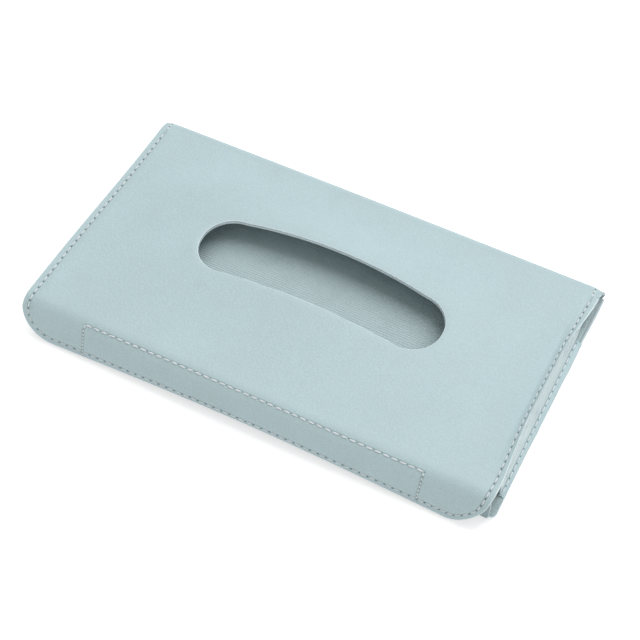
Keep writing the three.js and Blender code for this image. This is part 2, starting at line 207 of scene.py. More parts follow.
print("curl at mid length:", float(curl_at(CURL_MIDDLE)))

# %% Points on the flap
def flap_point(across, along, depth=0.0):
    """Point of the flap at a depth below its outer face, as an array of x, y, z."""
    across, along, depth = np.broadcast_arrays(*(np.asarray(v, float) for v in (across, along, depth)))
    y, z, heading = outline_at(along)
    rise = crown_at(along) * np.clip(1 - (across / FLAP_HALF) ** 2, 0, 1) ** 2
    side, end = FLAP_HALF - across, FLAP_LENGTH - along
    near = np.clip(1 - side / CURL_REACH, 0, 1)
    turned = curl_at(y)
    corner = (np.clip(1 - side / CORNER_SIDE, 0, 1) * np.clip(1 - end / CORNER_END, 0, 1)) ** 2
    left = np.clip(-across / FLAP_HALF, 0, 1) ** 2
    x = across - CURL_DRAW_IN * turned * near ** CURL_DRAW_POWER - CORNER_DRAW_IN * corner
    x = x - LEFT_SPREAD * left * smoothstep((along - SPREAD_START) / SPREAD_FADE)
    x = x + top_left_round(across, y)
    lift = CURL_LIFT * turned * near ** CURL_LIFT_POWER
    middle = np.clip(1 - (across / TUCK_HALF) ** 2, 0, 1)
    tuck = END_TUCK * np.clip(1 - end / SEAM_INSET, 0, 1) * middle
    return np.stack([x, y - np.sin(heading) * depth + tuck,
                     z - np.cos(heading) * depth + rise + lift], -1)


def free_inset(across, along):
    """Distance from the flap's nearest free edge."""
    side = FLAP_HALF - np.abs(across)
    end = FLAP_LENGTH - along
    corner = CORNER_RADIUS - np.hypot(CORNER_RADIUS - side, CORNER_RADIUS - end)
    in_corner = (side < CORNER_RADIUS) & (end < CORNER_RADIUS)
    return np.where(in_corner, corner, np.minimum(side, end))


print("top of the arch, mm:", np.round(flap_point(0.0, CROWN_FROM_FOLD), 2))

# %% [markdown]
# ## Mesh helpers
#
# Nearly every piece is a sheet with a thickness. Solidify could thicken one layer, but a cut
# edge needs its own colour and the inside its own depth. So a piece is a loft here: loops of
# points, joined in order into one closed body. The sign of its volume tells whether its faces
# point outwards.

# %% Points and faces into a piece
def to_row(points):
    """Millimetres from the crease to metres in the row frame."""
    moved = np.asarray(points, float).reshape(-1, 3) + (0, CREASE_TO_ORIGIN, 0)
    return moved * MM


def make_piece(name, points, faces, materials, face_slots=None, sharp=35, plan=None, inset=None):
    """Object from points in millimetres. Plan and inset are kept for the seams' texture."""
    mesh = bpy.data.meshes.new(name)
    mesh.from_pydata(to_row(points).tolist(), [], faces)
    for material in materials:
        mesh.materials.append(material)
    if face_slots is not None:
        mesh.polygons.foreach_set("material_index", face_slots)
    if plan is not None:
        layer = mesh.uv_layers.new(name="plan")
        corner = np.empty(len(mesh.loops), dtype=np.int32)
        mesh.loops.foreach_get("vertex_index", corner)
        layer.data.foreach_set("uv", (np.asarray(plan, float).reshape(-1, 2)[corner] * MM).ravel())
    if inset is not None:
        values = mesh.attributes.new("inset", "FLOAT", "POINT")
        values.data.foreach_set("value", np.asarray(inset, float).ravel() * MM)
    work = bmesh.new()
    work.from_mesh(mesh)
    if work.calc_volume(signed=True) < 0:
        bmesh.ops.reverse_faces(work, faces=work.faces)
    work.to_mesh(mesh)
    work.free()
    mesh.polygons.foreach_set("use_smooth", [True] * len(mesh.polygons))
    mesh.set_sharp_from_angle(angle=math.radians(sharp))
    piece = bpy.data.objects.new(name, mesh)
    bpy.context.scene.collection.objects.link(piece)
    return piece


def dress(piece, body, node):
    """Say which body carries a piece, which CAD node it stands for."""
    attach(piece, body)
    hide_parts(node)
    print(piece.name, "faces:", len(piece.data.polygons))


print("bottom crease in the row frame, m:", to_row((0, 0, 0))[0].round(5))

# %% Loops into a loft
def loft(loops, ring=False):
    """Points and faces of loops joined in order. A ring joins the last loop to the first."""
    loops = np.asarray(loops, float)
    rows, columns = loops.shape[:2]
    faces = []
    for row in range(rows if ring else rows - 1):
        base, after = row * columns, ((row + 1) % rows) * columns
        for column in range(columns):
            side = (column + 1) % columns
            faces.append((base + column, base + side, after + side, after + column))
    if not ring:
        faces.append(tuple(range(columns))[::-1])
        faces.append(tuple((rows - 1) * columns + column for column in range(columns)))
    return loops.reshape(-1, 3), faces


print("faces of a lofted brick:", len(loft(np.zeros((2, 4, 3)))[1]))

# %% [markdown]
# ## Materials
#
# Seen from outside, the holder has two finishes: smooth leather with a fine grain, and woven
# goods such as lining, wings, thread and webbing. Each could have a texture of its own. Three
# shared groups for grain, weave and wear are less work, and they keep the pieces alike. A
# material feeds them its own colours.

# %% Node helpers
def set_inputs(tree, node, values):
    """Set a node's inputs by name or number. A socket is linked, all else is a constant."""
    for key, value in values.items():
        if isinstance(value, bpy.types.NodeSocket):
            tree.links.new(value, node.inputs[key])
        else:
            node.inputs[key].default_value = value
    return node


def add_node(tree, kind, values=None, **settings):
    node = tree.nodes.new(kind)
    for key, value in settings.items():
        setattr(node, key, value)
    return set_inputs(tree, node, values or {})


def math_in(tree):
    """A short way to add a math node to this tree and get its output."""
    def calc(operation, *inputs, clamp=False):
        node = add_node(tree, "ShaderNodeMath", dict(enumerate(inputs)), operation=operation,
                        use_clamp=clamp)
        return node.outputs[0]
    return calc


def noise_in(tree, place, scale, detail, **values):
    node = add_node(tree, "ShaderNodeTexNoise", {"Vector": place, "Scale": scale, "Detail": detail, **values})
    return node.outputs["Fac"]


def mix_colors(tree, share, first, second):
    node = add_node(tree, "ShaderNodeMix", {"Factor": share, "A": first, "B": second}, data_type="RGBA")
    return node.outputs["Result"]


def new_group(name, kind, inputs, outputs):
    """Node group with named inputs and outputs: its tree, what it is given, and its result."""
    tree = bpy.data.node_groups.new(name, kind)
    for label, socket_type, value in inputs:
        socket = tree.interface.new_socket(label, in_out="INPUT", socket_type=socket_type)
        if value is not None:
            socket.default_value = value
    for label, socket_type in outputs:
        tree.interface.new_socket(label, in_out="OUTPUT", socket_type=socket_type)
    return tree, tree.nodes.new("NodeGroupInput").outputs, tree.nodes.new("NodeGroupOutput")


WHITE = (1, 1, 1, 1)
print("a group's colour inputs start at:", WHITE)

# %% Shared grain group
CLOUD_SCALE = 34.0
PORE_SCALE = 1500.0


def make_grain_group():
    """Soft clouds, pebbles and pores: colour, roughness and height of smooth leather."""
    tree, given, result = new_group(
        "Leather grain", "ShaderNodeTree",
        [("Color", "NodeSocketColor", WHITE), ("Mottle", "NodeSocketFloat", 0.06),
         ("Pebble", "NodeSocketFloat", 900.0)],
        [("Color", "NodeSocketColor"), ("Roughness", "NodeSocketFloat"), ("Height", "NodeSocketFloat")])
    calc = math_in(tree)
    place = add_node(tree, "ShaderNodeTexCoord").outputs["Object"]
    clouds = noise_in(tree, place, CLOUD_SCALE, 3.0)
    pebbles = add_node(tree, "ShaderNodeTexVoronoi", {"Vector": place, "Scale": given["Pebble"]},
                       feature="SMOOTH_F1").outputs["Distance"]
    pores = noise_in(tree, place, PORE_SCALE, 2.0)
    fine = calc("MULTIPLY", calc("SUBTRACT", pebbles, 0.4), 0.22)
    shade = calc("MULTIPLY", calc("SUBTRACT", calc("SUBTRACT", clouds, 0.5), fine), given["Mottle"])
    specks = calc("MULTIPLY", calc("SUBTRACT", pores, 0.5), 0.3)
    level = calc("MULTIPLY_ADD", shade, 2.0, calc("ADD", specks, 1.0))
    tint = add_node(tree, "ShaderNodeVectorMath", {0: given["Color"], "Scale": level}, operation="SCALE")
    bumps = calc("MULTIPLY_ADD", pores, 0.3, calc("MULTIPLY", pebbles, -1.0))
    set_inputs(tree, result, {"Color": tint.outputs[0], "Height": bumps,
                              "Roughness": calc("MULTIPLY_ADD", clouds, 0.16, 0.44)})
    return tree


GRAIN = make_grain_group()
print("group:", GRAIN.name)

# %% Shared weave group
FUZZ_SCALE = 1900.0
SLUB_SCALE = 1500.0
SLUB_STRETCH = (1.0, 0.06, 1.0)


def make_weave_group():
    """Crossed threads with fuzz and long slubs, darker in the gaps."""
    tree, given, result = new_group(
        "Weave", "ShaderNodeTree",
        [("Color", "NodeSocketColor", WHITE), ("Gap Color", "NodeSocketColor", (0.3, 0.3, 0.3, 1)),
         ("Threads X", "NodeSocketFloat", 1400.0), ("Threads Y", "NodeSocketFloat", 1400.0),
         ("Depth", "NodeSocketFloat", 0.5), ("Streaks", "NodeSocketFloat", 0.0)],
        [("Color", "NodeSocketColor"), ("Height", "NodeSocketFloat")])
    calc = math_in(tree)
    place = add_node(tree, "ShaderNodeTexCoord").outputs["Object"]
    split = add_node(tree, "ShaderNodeSeparateXYZ", {"Vector": place}).outputs

    def threads(distance, count):
        return calc("SINE", calc("MULTIPLY", calc("MULTIPLY", distance, count), 2 * math.pi))

    warp = threads(split["X"], given["Threads X"])
    weft = threads(calc("ADD", split["Y"], split["Z"]), given["Threads Y"])
    drawn_out = add_node(tree, "ShaderNodeVectorMath", {0: place, 1: SLUB_STRETCH}, operation="MULTIPLY")
    slub = noise_in(tree, drawn_out.outputs[0], SLUB_SCALE, 2.0)
    streak = calc("MULTIPLY", calc("SUBTRACT", slub, 0.5), given["Streaks"])
    fuzz = noise_in(tree, place, FUZZ_SCALE, 3.0)
    height = calc("MULTIPLY_ADD", calc("MULTIPLY", warp, weft), 0.35, calc("ADD", fuzz, streak))
    share = calc("MULTIPLY", calc("SUBTRACT", 0.9, height), given["Depth"], clamp=True)
    color = mix_colors(tree, share, given["Color"], given["Gap Color"])
    set_inputs(tree, result, {"Color": color, "Height": height})
    return tree


WEAVE = make_weave_group()
print("group:", WEAVE.name)

# %% Shared wear group
PATCH_SCALE = 90.0


def make_wear_group():
    """Cloudy patches of a second colour, where hands have rubbed."""
    tree, given, result = new_group(
        "Wear", "ShaderNodeTree",
        [("Color", "NodeSocketColor", WHITE), ("Worn Color", "NodeSocketColor", WHITE),
         ("Amount", "NodeSocketFloat", 0.2)],
        [("Color", "NodeSocketColor")])
    calc = math_in(tree)
    place = add_node(tree, "ShaderNodeTexCoord").outputs["Object"]
    patches = noise_in(tree, place, PATCH_SCALE, 5.0, Roughness=0.65)
    share = calc("MULTIPLY", calc("MULTIPLY_ADD", patches, 4.0, -2.0, clamp=True), given["Amount"])
    set_inputs(tree, result, {"Color": mix_colors(tree, share, given["Color"], given["Worn Color"])})
    return tree


WEAR = make_wear_group()
print("group:", WEAR.name)

# %% What every material needs
def linear(red, green, blue):
    """Linear colour of screen values from 0 to 255."""
    def one(value):
        share = value / 255
        return share / 12.92 if share <= 0.04045 else ((share + 0.055) / 1.055) ** 2.4
    return (one(red), one(green), one(blue), 1.0)


def new_material(name, **constants):
    """Material, its tree and its shader, with constants on the shader's own sockets."""
    material = bpy.data.materials.new(name)
    material.use_nodes = True
    shader = material.node_tree.nodes["Principled BSDF"]
    for key, value in constants.items():
        shader.inputs[key.replace("_", " ")].default_value = value
    return material, material.node_tree, shader


def bump_into(tree, shader, height, distance):
    bump = add_node(tree, "ShaderNodeBump", {"Strength": 1.0, "Distance": distance, "Height": height})
    tree.links.new(bump.outputs["Normal"], shader.inputs["Normal"])


print("linear value of a mid grey:", round(linear(128, 128, 128)[0], 3))

# %% [markdown]
# A seam draws its thread into the leather, which leaves a shallow valley. It could be modelled
# in the mesh, but that needs very fine faces. The flap keeps each point's inset from its edge
# and its place in plan, and the material turns these into a valley for the Bump node.

# %% Leather with its seams
VALLEY_WIDTH = 0.8
VALLEY_DEPTH = -4.0
TOP_ROW_OVERRUN = 0.4
END_ROW_OVERRUN = 0.3
GRAIN_BUMP = 0.0001
LEATHER_TONE = (187, 209, 213)
LEATHER_WORN = (176, 199, 204)
# Wall leather: the same leather as the flap, made darker with painted shade, as the wall stands in the shade
# of the flap's end.
WALL_PAINTED_SHADE_TONE = (152, 172, 177)


def seam_height(tree):
    """Valley along the edge row and the pocket rows, from the inset and the plan."""
    calc = math_in(tree)
    inset = add_node(tree, "ShaderNodeAttribute", attribute_name="inset").outputs["Fac"]
    plan = add_node(tree, "ShaderNodeUVMap", uv_map="plan").outputs["UV"]
    split = add_node(tree, "ShaderNodeSeparateXYZ", {"Vector": plan}).outputs
    sideways, along = calc("ABSOLUTE", split["X"]), split["Y"]

    def valley(value, centre):
        away = calc("ABSOLUTE", calc("SUBTRACT", value, centre * MM))
        return calc("SUBTRACT", 1.0, calc("DIVIDE", away, VALLEY_WIDTH * MM), clamp=True)

    beside = calc("LESS_THAN", sideways, (POCKET_HALF + TOP_ROW_OVERRUN) * MM)
    top = calc("MULTIPLY", valley(along, POCKET_TOP), beside)
    below = calc("GREATER_THAN", along, (POCKET_TOP - END_ROW_OVERRUN) * MM)
    ends = calc("MULTIPLY", valley(sideways, POCKET_HALF), below)
    return calc("MAXIMUM", valley(inset, SEAM_INSET), calc("MAXIMUM", top, ends))


def make_leather(name, tone=LEATHER_TONE, seams=False):
    material, tree, shader = new_material(name, IOR=1.45)
    wear = add_node(tree, "ShaderNodeGroup", node_tree=WEAR)
    set_inputs(tree, wear, {"Color": linear(*tone), "Worn Color": linear(*LEATHER_WORN), "Amount": 0.25})
    grain = add_node(tree, "ShaderNodeGroup", node_tree=GRAIN)
    set_inputs(tree, grain, {"Color": wear.outputs["Color"], "Mottle": 0.07})
    set_inputs(tree, shader, {"Base Color": grain.outputs["Color"], "Roughness": grain.outputs["Roughness"]})
    height = grain.outputs["Height"]
    if seams:
        height = math_in(tree)("MULTIPLY_ADD", seam_height(tree), VALLEY_DEPTH, height)
    bump_into(tree, shader, height, GRAIN_BUMP)
    return material


leather = make_leather("flap_leather", seams=True)
plain_leather = make_leather("plain_leather")
painted_shade_wall_leather = make_leather("wall_leather_painted_shade", WALL_PAINTED_SHADE_TONE)
print("leathers:", leather.name, plain_leather.name, painted_shade_wall_leather.name)

# %% Woven goods, cut edges, board and magnet metal
def make_cloth(name, tone, gap, threads, depth=0.5, distance=0.0001, streaks=0.0):
    """Woven look in two tones, with so many threads to the metre across and along."""
    material, tree, shader = new_material(name, Roughness=0.9)
    wear = add_node(tree, "ShaderNodeGroup", node_tree=WEAR)
    set_inputs(tree, wear, {"Color": linear(*tone), "Worn Color": linear(*gap), "Amount": 0.12})
    weave = add_node(tree, "ShaderNodeGroup", node_tree=WEAVE)
    set_inputs(tree, weave, {"Color": wear.outputs["Color"], "Gap Color": linear(*gap), "Depth": depth,
                             "Threads X": threads[0], "Threads Y": threads[1], "Streaks": streaks})
    set_inputs(tree, shader, {"Base Color": weave.outputs["Color"]})
    bump_into(tree, shader, weave.outputs["Height"], distance)
    return material


def make_magnet_metal():
    material, tree, shader = new_material("plated_magnet", Metallic=1.0)
    wear = add_node(tree, "ShaderNodeGroup", node_tree=WEAR)
    set_inputs(tree, wear, {"Color": linear(205, 206, 208), "Worn Color": linear(140, 141, 143),
                            "Amount": 0.5})
    haze = add_node(tree, "ShaderNodeTexNoise", {"Scale": 700.0, "Detail": 4.0}).outputs["Fac"]
    roughness = math_in(tree)("MULTIPLY_ADD", haze, 0.2, 0.22)
    set_inputs(tree, shader, {"Base Color": wear.outputs["Color"], "Roughness": roughness})
    return material


cut_edge = make_cloth("cut_leather_edge", (238, 252, 255), (198, 217, 225), (1700, 2300), depth=0.35)
flesh_side = make_cloth("leather_flesh_side", (176, 188, 192), (120, 132, 138), (2100, 1900))
lining_cloth = make_cloth("ribbed_lining", (214, 234, 237), (128, 152, 156), (1000, 1600), distance=0.0002)
# Flap lining: a darker copy of the pale lining cloth, with painted shade for the lining under the flap. The
# dark tone also lets less light bounce into the slot.
shaded_lining = make_cloth("flap_lining_painted_shade", (160, 176, 182), (120, 137, 144), (1500, 2667))
wing_cloth = make_cloth("wing_cloth", (238, 253, 255), (164, 186, 195), (1250, 1250), depth=0.6,
                        distance=0.00025, streaks=2.4)
thread = make_cloth("sewing_thread", (242, 248, 250), (200, 213, 218), (2600, 2600), depth=0.45)
# Needle hole: a dark tone that is painted shade inside the hole.
hole_painted_shade = make_cloth("hole_painted_shade", (116, 139, 146), (84, 104, 112), (2300, 2300))
webbing = make_cloth("elastic_webbing", (160, 180, 186), (92, 108, 114), (2000, 900), depth=0.55)
stiff_board = make_cloth("stiffener_board", (92, 94, 96), (48, 50, 52), (700, 700))
magnet_metal = make_magnet_metal()
print("materials:", len(bpy.data.materials))

# %% [markdown]
# ## Front flap
#
# The flap is cut with a knife, so its edge, its round corners and the long slot are clean. A
# boolean could cut the slot, but it would leave long thin faces beside it. Rings of points are
# used instead: the outer ones follow the flap's edge, the inner ones the slot, and the ones
# between blend the two.

# %% Rings round the flap
FOLD_SAMPLES = 130
SIDE_SAMPLES = 80
CORNER_SAMPLES = 20
END_SAMPLES = 112
OUTER_MARGIN = 8.0


def edge_ring(inset):
    """Across and along positions at an inset from the flap's outline, once round."""
    half, radius = FLAP_HALF - inset, CORNER_RADIUS - inset
    straight = FLAP_LENGTH - CORNER_RADIUS
    reach = FLAP_HALF - CORNER_RADIUS
    fold = np.linspace(-half, half, FOLD_SAMPLES, endpoint=False)
    side = np.linspace(inset, straight, SIDE_SAMPLES, endpoint=False)
    turn = np.linspace(0, math.pi / 2, CORNER_SAMPLES, endpoint=False)
    end = np.linspace(reach, -reach, END_SAMPLES, endpoint=False)
    across = np.concatenate([fold, np.full(SIDE_SAMPLES, half), reach + radius * np.cos(turn), end,
                             -reach - radius * np.sin(turn), np.full(SIDE_SAMPLES, -half)])
    along = np.concatenate([np.full(FOLD_SAMPLES, inset), side, straight + radius * np.sin(turn),
                            np.full(END_SAMPLES, FLAP_LENGTH - inset),
                            straight + radius * np.cos(turn),
                            np.linspace(straight, inset, SIDE_SAMPLES, endpoint=False)])
    return np.stack([across, along], -1)


margin_ring = edge_ring(OUTER_MARGIN)
print("points in a ring:", len(margin_ring))

# %% Rings round the slot
BLEND_RINGS = 38
BLEND_BIAS = 1.35
RIM_MARGIN = 6.0
FAR_FROM_RIM = 99.0


def rim_places(centre, away, outset):
    """Places at an outset from the slot's rim, in the directions away from its middle line."""
    bow = np.where(away[:, 1] < 0, SLOT_BOW_UPPER, SLOT_BOW_LOWER) * (1 - (centre / SLOT_STRAIGHT) ** 2)
    reach = SLOT_RADIUS + bow + outset + SLOT_FAR_WIDER * np.maximum(-away[:, 1], 0)
    droop = SLOT_ENDS_LOW * (centre / SLOT_STRAIGHT) ** 2 - SLOT_MIDDLE_HIGH
    return np.stack([centre + away[:, 0] * reach, SLOT_ALONG + droop + away[:, 1] * reach], -1)


def rim_ring(outset):
    """Positions at an outset from the slot's rim, each facing its point of the margin ring."""
    across, along = margin_ring[:, 0], margin_ring[:, 1]
    centre = np.clip(across, -SLOT_STRAIGHT, SLOT_STRAIGHT)
    away = np.stack([across - centre, along - SLOT_ALONG], -1)
    away /= np.linalg.norm(away, axis=1)[:, None]
    return rim_places(centre, away, outset)


def plan_rings(edge_insets, rim_outsets):
    """Rings in order from the slot's rim to the flap's edge, with their outset from the rim."""
    shares = 1 - (1 - np.linspace(0, 1, BLEND_RINGS + 2)[1:-1]) ** BLEND_BIAS
    start = rim_ring(RIM_MARGIN)
    rings = [(rim_ring(outset), outset) for outset in rim_outsets]
    rings += [(start + (margin_ring - start) * share, FAR_FROM_RIM) for share in shares]
    rings += [(edge_ring(inset), FAR_FROM_RIM) for inset in edge_insets]
    return rings


print("rings between the slot and the edge:", len(plan_rings((), ())))

# %% Depth of the leather's outer face
FOLD_EASE = 6.0
MARGIN_WIDTH = 3.4
SKIN_DROP = 0.32
RIM_DIP = 0.3
RIM_DIP_REACH = 2.6
SEAM_DIP = 0.16
SEAM_DIP_WIDTH = 0.55


def past_fold(places):
    """0 on the fold line and 1 a little way along, so that nothing steps at the fold."""
    return smoothstep(places[:, 1] / FOLD_EASE)


def margin_share(places):
    """1 at the free edges, 0 where the stiff board lies under the leather."""
    inset = free_inset(places[:, 0], places[:, 1])
    return (1 - smoothstep((inset - MARGIN_WIDTH) / MARGIN_WIDTH)) * past_fold(places)


def skin_depth(places, outset):
    """How far the leather dips at the margin, at the slot's rim and under the edge row."""
    dip = SKIN_DROP * margin_share(places) + RIM_DIP * (1 - smoothstep(outset / RIM_DIP_REACH))
    row = free_inset(places[:, 0], places[:, 1]) - SEAM_INSET
    return dip + SEAM_DIP * np.exp(-(row / SEAM_DIP_WIDTH) ** 2) * past_fold(places)


seam_middle = np.array([(0.0, FLAP_LENGTH - SEAM_INSET)])
print("leather's dip at the edge row, mm:", skin_depth(seam_middle, FAR_FROM_RIM).round(3))

# %% Flap leather
EDGE_INSETS = (OUTER_MARGIN, 7.2, 6.4, 5.6, 4.9, 4.3, 3.9, 3.6, 3.3, 3.0, 2.7, 2.2, 1.5, 0.9, 0.5, 0.18, 0.0)
RIM_OUTSETS = (0.0, 0.3, 0.55, 0.9, 1.6, 2.4, 3.3, 4.5, RIM_MARGIN)
UNDER_INSETS = (OUTER_MARGIN, 5.0, 2.5, 0.0)
UNDER_OUTSETS = (0.0, 1.0, 2.5, RIM_MARGIN)
RIM_BEVEL = (0.24, 0.03)
EDGE_BEVEL = (0.06, 0.26)
UNDER_DIP_SHARE = 0.55


def make_flap_skin():
    top = plan_rings(EDGE_INSETS, RIM_OUTSETS)
    under = plan_rings(UNDER_INSETS, UNDER_OUTSETS)[::-1]
    free = np.arange(len(margin_ring)) >= FOLD_SAMPLES
    bevel = [*RIM_BEVEL, *[0.0] * (len(top) - 4), *EDGE_BEVEL]
    depths = [skin_depth(places, outset) + bevel[number] * (free | (number < 2))
              for number, (places, outset) in enumerate(top)]
    depths += [skin_depth(places, outset) * UNDER_DIP_SHARE + SKIN for places, outset in under]
    plans = [places for places, outset in top + under]
    points, faces = loft([flap_point(places[:, 0], places[:, 1], depth)
                          for places, depth in zip(plans, depths)], ring=True)
    # The bevel rows at the slot's rim and at the free edges take the pale cut-edge colour: partly the
    # leather's cut, partly a painted highlight on the rounded edge.
    smooth, cut_and_highlight, flesh = 0, 1, 2
    row_slots = [cut_and_highlight] + [smooth] * (len(top) - 4) + [free * cut_and_highlight] * 2 + [cut_and_highlight]
    row_slots += [flesh] * (len(under) - 1) + [cut_and_highlight]
    slots = np.concatenate([np.full(len(margin_ring), slot) for slot in row_slots])
    plan = np.concatenate(plans)
    return make_piece("flap_leather_panel", points, faces, [leather, cut_edge, flesh_side], slots.tolist(),
                      sharp=50, plan=plan, inset=free_inset(plan[:, 0], plan[:, 1]))


dress(make_flap_skin(), "front_flap", "flap_skin")

# %% [markdown]
# The stiff board under the leather has an opening a little larger than the slot. The CAD model
# has it with straight sides, but the leather's slot is bowed, and the board would show beyond
# it. It could be lofted anew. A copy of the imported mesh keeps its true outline, so only the
# points near the opening are drawn over to the bowed slot.

# %% Flap board
PACKED_SLOT_Y = 69.8
BOARD_SLOT_INSET = 2.0
BOARD_EASE = 14.0
OUTLINE_STEPS = 800
DOUBLE_DISTANCE = 1e-6


def make_flap_board():
    board = bmesh.new()
    board.from_mesh(bpy.data.objects["flap_board"].data)
    bmesh.ops.remove_doubles(board, verts=board.verts, dist=DOUBLE_DISTANCE)
    points = np.array([vertex.co for vertex in board.verts]) / MM - (0, CREASE_TO_ORIGIN, 0)
    faces = [[vertex.index for vertex in face.verts] for face in board.faces]
    board.free()
    steps = np.linspace(0, FLAP_LENGTH, OUTLINE_STEPS)
    across, along = points[:, 0], np.interp(-points[:, 1], -outline_at(steps)[0], steps)
    centre = np.clip(across, -SLOT_STRAIGHT, SLOT_STRAIGHT)
    away = np.stack([across - centre, PACKED_SLOT_Y - points[:, 1]], -1)
    reach = np.linalg.norm(away, axis=1)
    target = rim_places(centre, away / reach[:, None], reach - SLOT_RADIUS)
    share = 1 - smoothstep((reach - SLOT_RADIUS - BOARD_SLOT_INSET) / BOARD_EASE)
    moved_across = across + (target[:, 0] - across) * share
    moved_along = along + (target[:, 1] - along) * share
    points += flap_point(moved_across, moved_along) - flap_point(across, along)
    print("board's opening moved by up to, mm:", round(float(np.abs(moved_along - along).max()), 2))
    return make_piece("flap_stiff_board", points, faces, [stiff_board])


dress(make_flap_board(), "front_flap", "flap_board")

# %% [markdown]
# The lining is glued over the board and meets the leather at the free edges, where it
# frays, and at the slot, where it shows as a second pale line. Its grey is painted shade: it is
# the pale lining cloth, made darker as it lies under the flap. A cloth simulation would only
# settle where it is glued, so the same rings are used again at the lining's depth. A few
# random steps of fixed seed fray its rim.

# %% Depth of the flap's lining
LINING_DEPTH = 1.02
LINING_DROP = 0.6 * SKIN_DROP
BOARD_ROOM = 1.1
BOARD_INSET, BOARD_INSET_EASE = 4.2, 2.6
BOARD_OUTSET, BOARD_OUTSET_EASE = 0.6, 1.3
LINING_RIM_SHARE = 0.55


def lining_depth(places, outset, rim_share=0.0):
    """Depth of the lining's upper face below the flap's outer face.

    The rim share is the part of the board's room that is left at the slot's rim.
    """
    inset = free_inset(places[:, 0], places[:, 1])
    past_rim = rim_share + (1 - rim_share) * smoothstep((outset - BOARD_OUTSET) / BOARD_OUTSET_EASE)
    on_board = smoothstep((inset - BOARD_INSET) / BOARD_INSET_EASE) * past_rim
    return LINING_DEPTH + LINING_DROP * margin_share(places) + BOARD_ROOM * on_board


print("lining's depth at the edge row, mm:", lining_depth(seam_middle, FAR_FROM_RIM).round(3))

# %% Flap lining
LINING_INSETS = (OUTER_MARGIN, 7.0, 6.0, 5.0, 4.0, 3.0, 2.0, 1.0, 0.35)
LINING_OUTSETS = (-0.2, 0.5, 1.2, 1.8, 2.4, 3.2, RIM_MARGIN)
FRAY = np.array([0.07, 0.07, 0.042])
FRAY_SEED = 7


def make_flap_lining():
    rings = plan_rings(LINING_INSETS, LINING_OUTSETS)
    loops = []
    for side, row in ((0, rings), (1, rings[::-1])):
        for places, outset in row:
            depth = lining_depth(places, outset, LINING_RIM_SHARE * side) + LINING * side
            loops.append(flap_point(places[:, 0], np.maximum(places[:, 1], FOLD_RADIUS), depth))
    random = np.random.default_rng(FRAY_SEED)
    for number in (len(rings) - 1, len(rings)):
        loops[number] = loops[number] + random.normal(0, 1, loops[number].shape) * FRAY
    points, faces = loft(loops, ring=True)
    slots = [0] * (len(faces) - len(margin_ring)) + [1] * len(margin_ring)
    return make_piece("flap_lining_cloth", points, faces, [shaded_lining, cut_edge], slots, sharp=60)


flap_lining = make_flap_lining()
dress(flap_lining, "front_flap", "flap_lining")

# %% [markdown]
# ## Fold along the top
#
# The leather is one sheet on the real holder, so the fold goes on from the back's leather to
# the flap's. A curve with a bevel could make it. A y-z profile carried along X is used, since
# each station can be bent on its own: the fold is fuller in the middle, and round at its ends.
# The strip of lining inside it is made the same way, along a few listed turns.

# %% A profile carried along X
def bar(name, profile, stations, materials, cap_slot=0, shape=None, sharp=35):
    """A closed y-z profile carried along X. shape(x, y, z) may bend it."""
    profile = np.asarray(profile, float)
    loops = []
    for x in stations:
        place = (x, profile[:, 0], profile[:, 1])
        if shape is not None:
            place = shape(*place)
        loops.append(np.stack(np.broadcast_arrays(*place), -1))
    points, faces = loft(loops)
    slots = [0] * (len(faces) - 2) + [cap_slot] * 2
    return make_piece(name, points, faces, materials, slots, sharp=sharp)


def thick_path(path, thickness):
    """Closed profile of a sheet whose outer face follows a y-z path."""
    path = np.asarray(path, float)
    heading = np.gradient(path, axis=0)
    heading /= np.linalg.norm(heading, axis=1)[:, None]
    inward = np.stack([-heading[:, 1], heading[:, 0]], -1)
    return np.concatenate([path, (path + inward * thickness)[::-1]])


def arc(centre, radius, start, end, steps):
    angles = np.radians(np.linspace(start, end, steps + 1))
    return np.stack([centre[0] + radius * np.cos(angles), centre[1] + radius * np.sin(angles)], -1)


def bend_between(piece, head, y, low, high):
    """Bake a piece's transform into its mesh. Head is not used, and the y and the two heights make two points
    that nothing uses.
    """
    start, end = to_row([(0, y, low), (0, y, high)])
    tuple(start)
    tuple(end)
    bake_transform(piece)


print("points in a quarter turn of 6 steps:", len(arc((0, 0), 1, 0, 90, 6)))

# %% Shape of the fold
FOLD_BULGE = 0.9
FOLD_END_RADIUS = 5.0
FOLD_END_PULL = 3.0
FOLD_END_REACH = 7.0
FOLD_OVERLAP = 0.6
FOLD_BULGE_FADE = {-1: 1.0, 1: 0.3}
FOLD_PULL_LIMIT = {-1: -2.6, 1: -0.3}
FOLD_END_WIDENING = {-1: 0.0, 1: 1.5}


def fold_shape(x, y, z):
    """Fold line slightly fuller in the middle than at its ends, which are rounded."""
    sign = -1 if x < 0 else 1
    share = np.clip((z - SKIN_BASE) / (2 * FOLD_RADIUS), 0, 1)
    swell = np.sin(math.pi * share) * (y > BACK_LENGTH - FOLD_OVERLAP)
    turn = np.clip((abs(x) - FLAP_HALF + FOLD_END_RADIUS) / FOLD_END_RADIUS, 0, 1)
    bulge = FOLD_BULGE * (1 - FOLD_BULGE_FADE[sign] * (x / FLAP_HALF) ** 2)
    out = max(bulge - FOLD_END_PULL * (1 - math.sqrt(1 - turn ** 2)), FOLD_PULL_LIMIT[sign])
    near_end = np.clip((abs(x) - FLAP_HALF + FOLD_END_REACH) / FOLD_END_REACH, 0, 1) ** 2
    wider = sign * FOLD_END_WIDENING[sign] * near_end * swell
    return x + wider + top_left_round(x, y), y + out * swell, z


fold_middle = fold_shape(0.0, FOLD_CREST, FOLD_AXIS[1])[1]
print("fold line at mid width, mm:", round(float(fold_middle), 2))

# %% Fold leather
FOLD_SPAN = (1.6, 6.1)
FOLD_STEPS = 22
FOLD_FLAT_STEPS = 6
FOLD_END_STATIONS = 9
FOLD_MIDDLE_STATIONS = 47

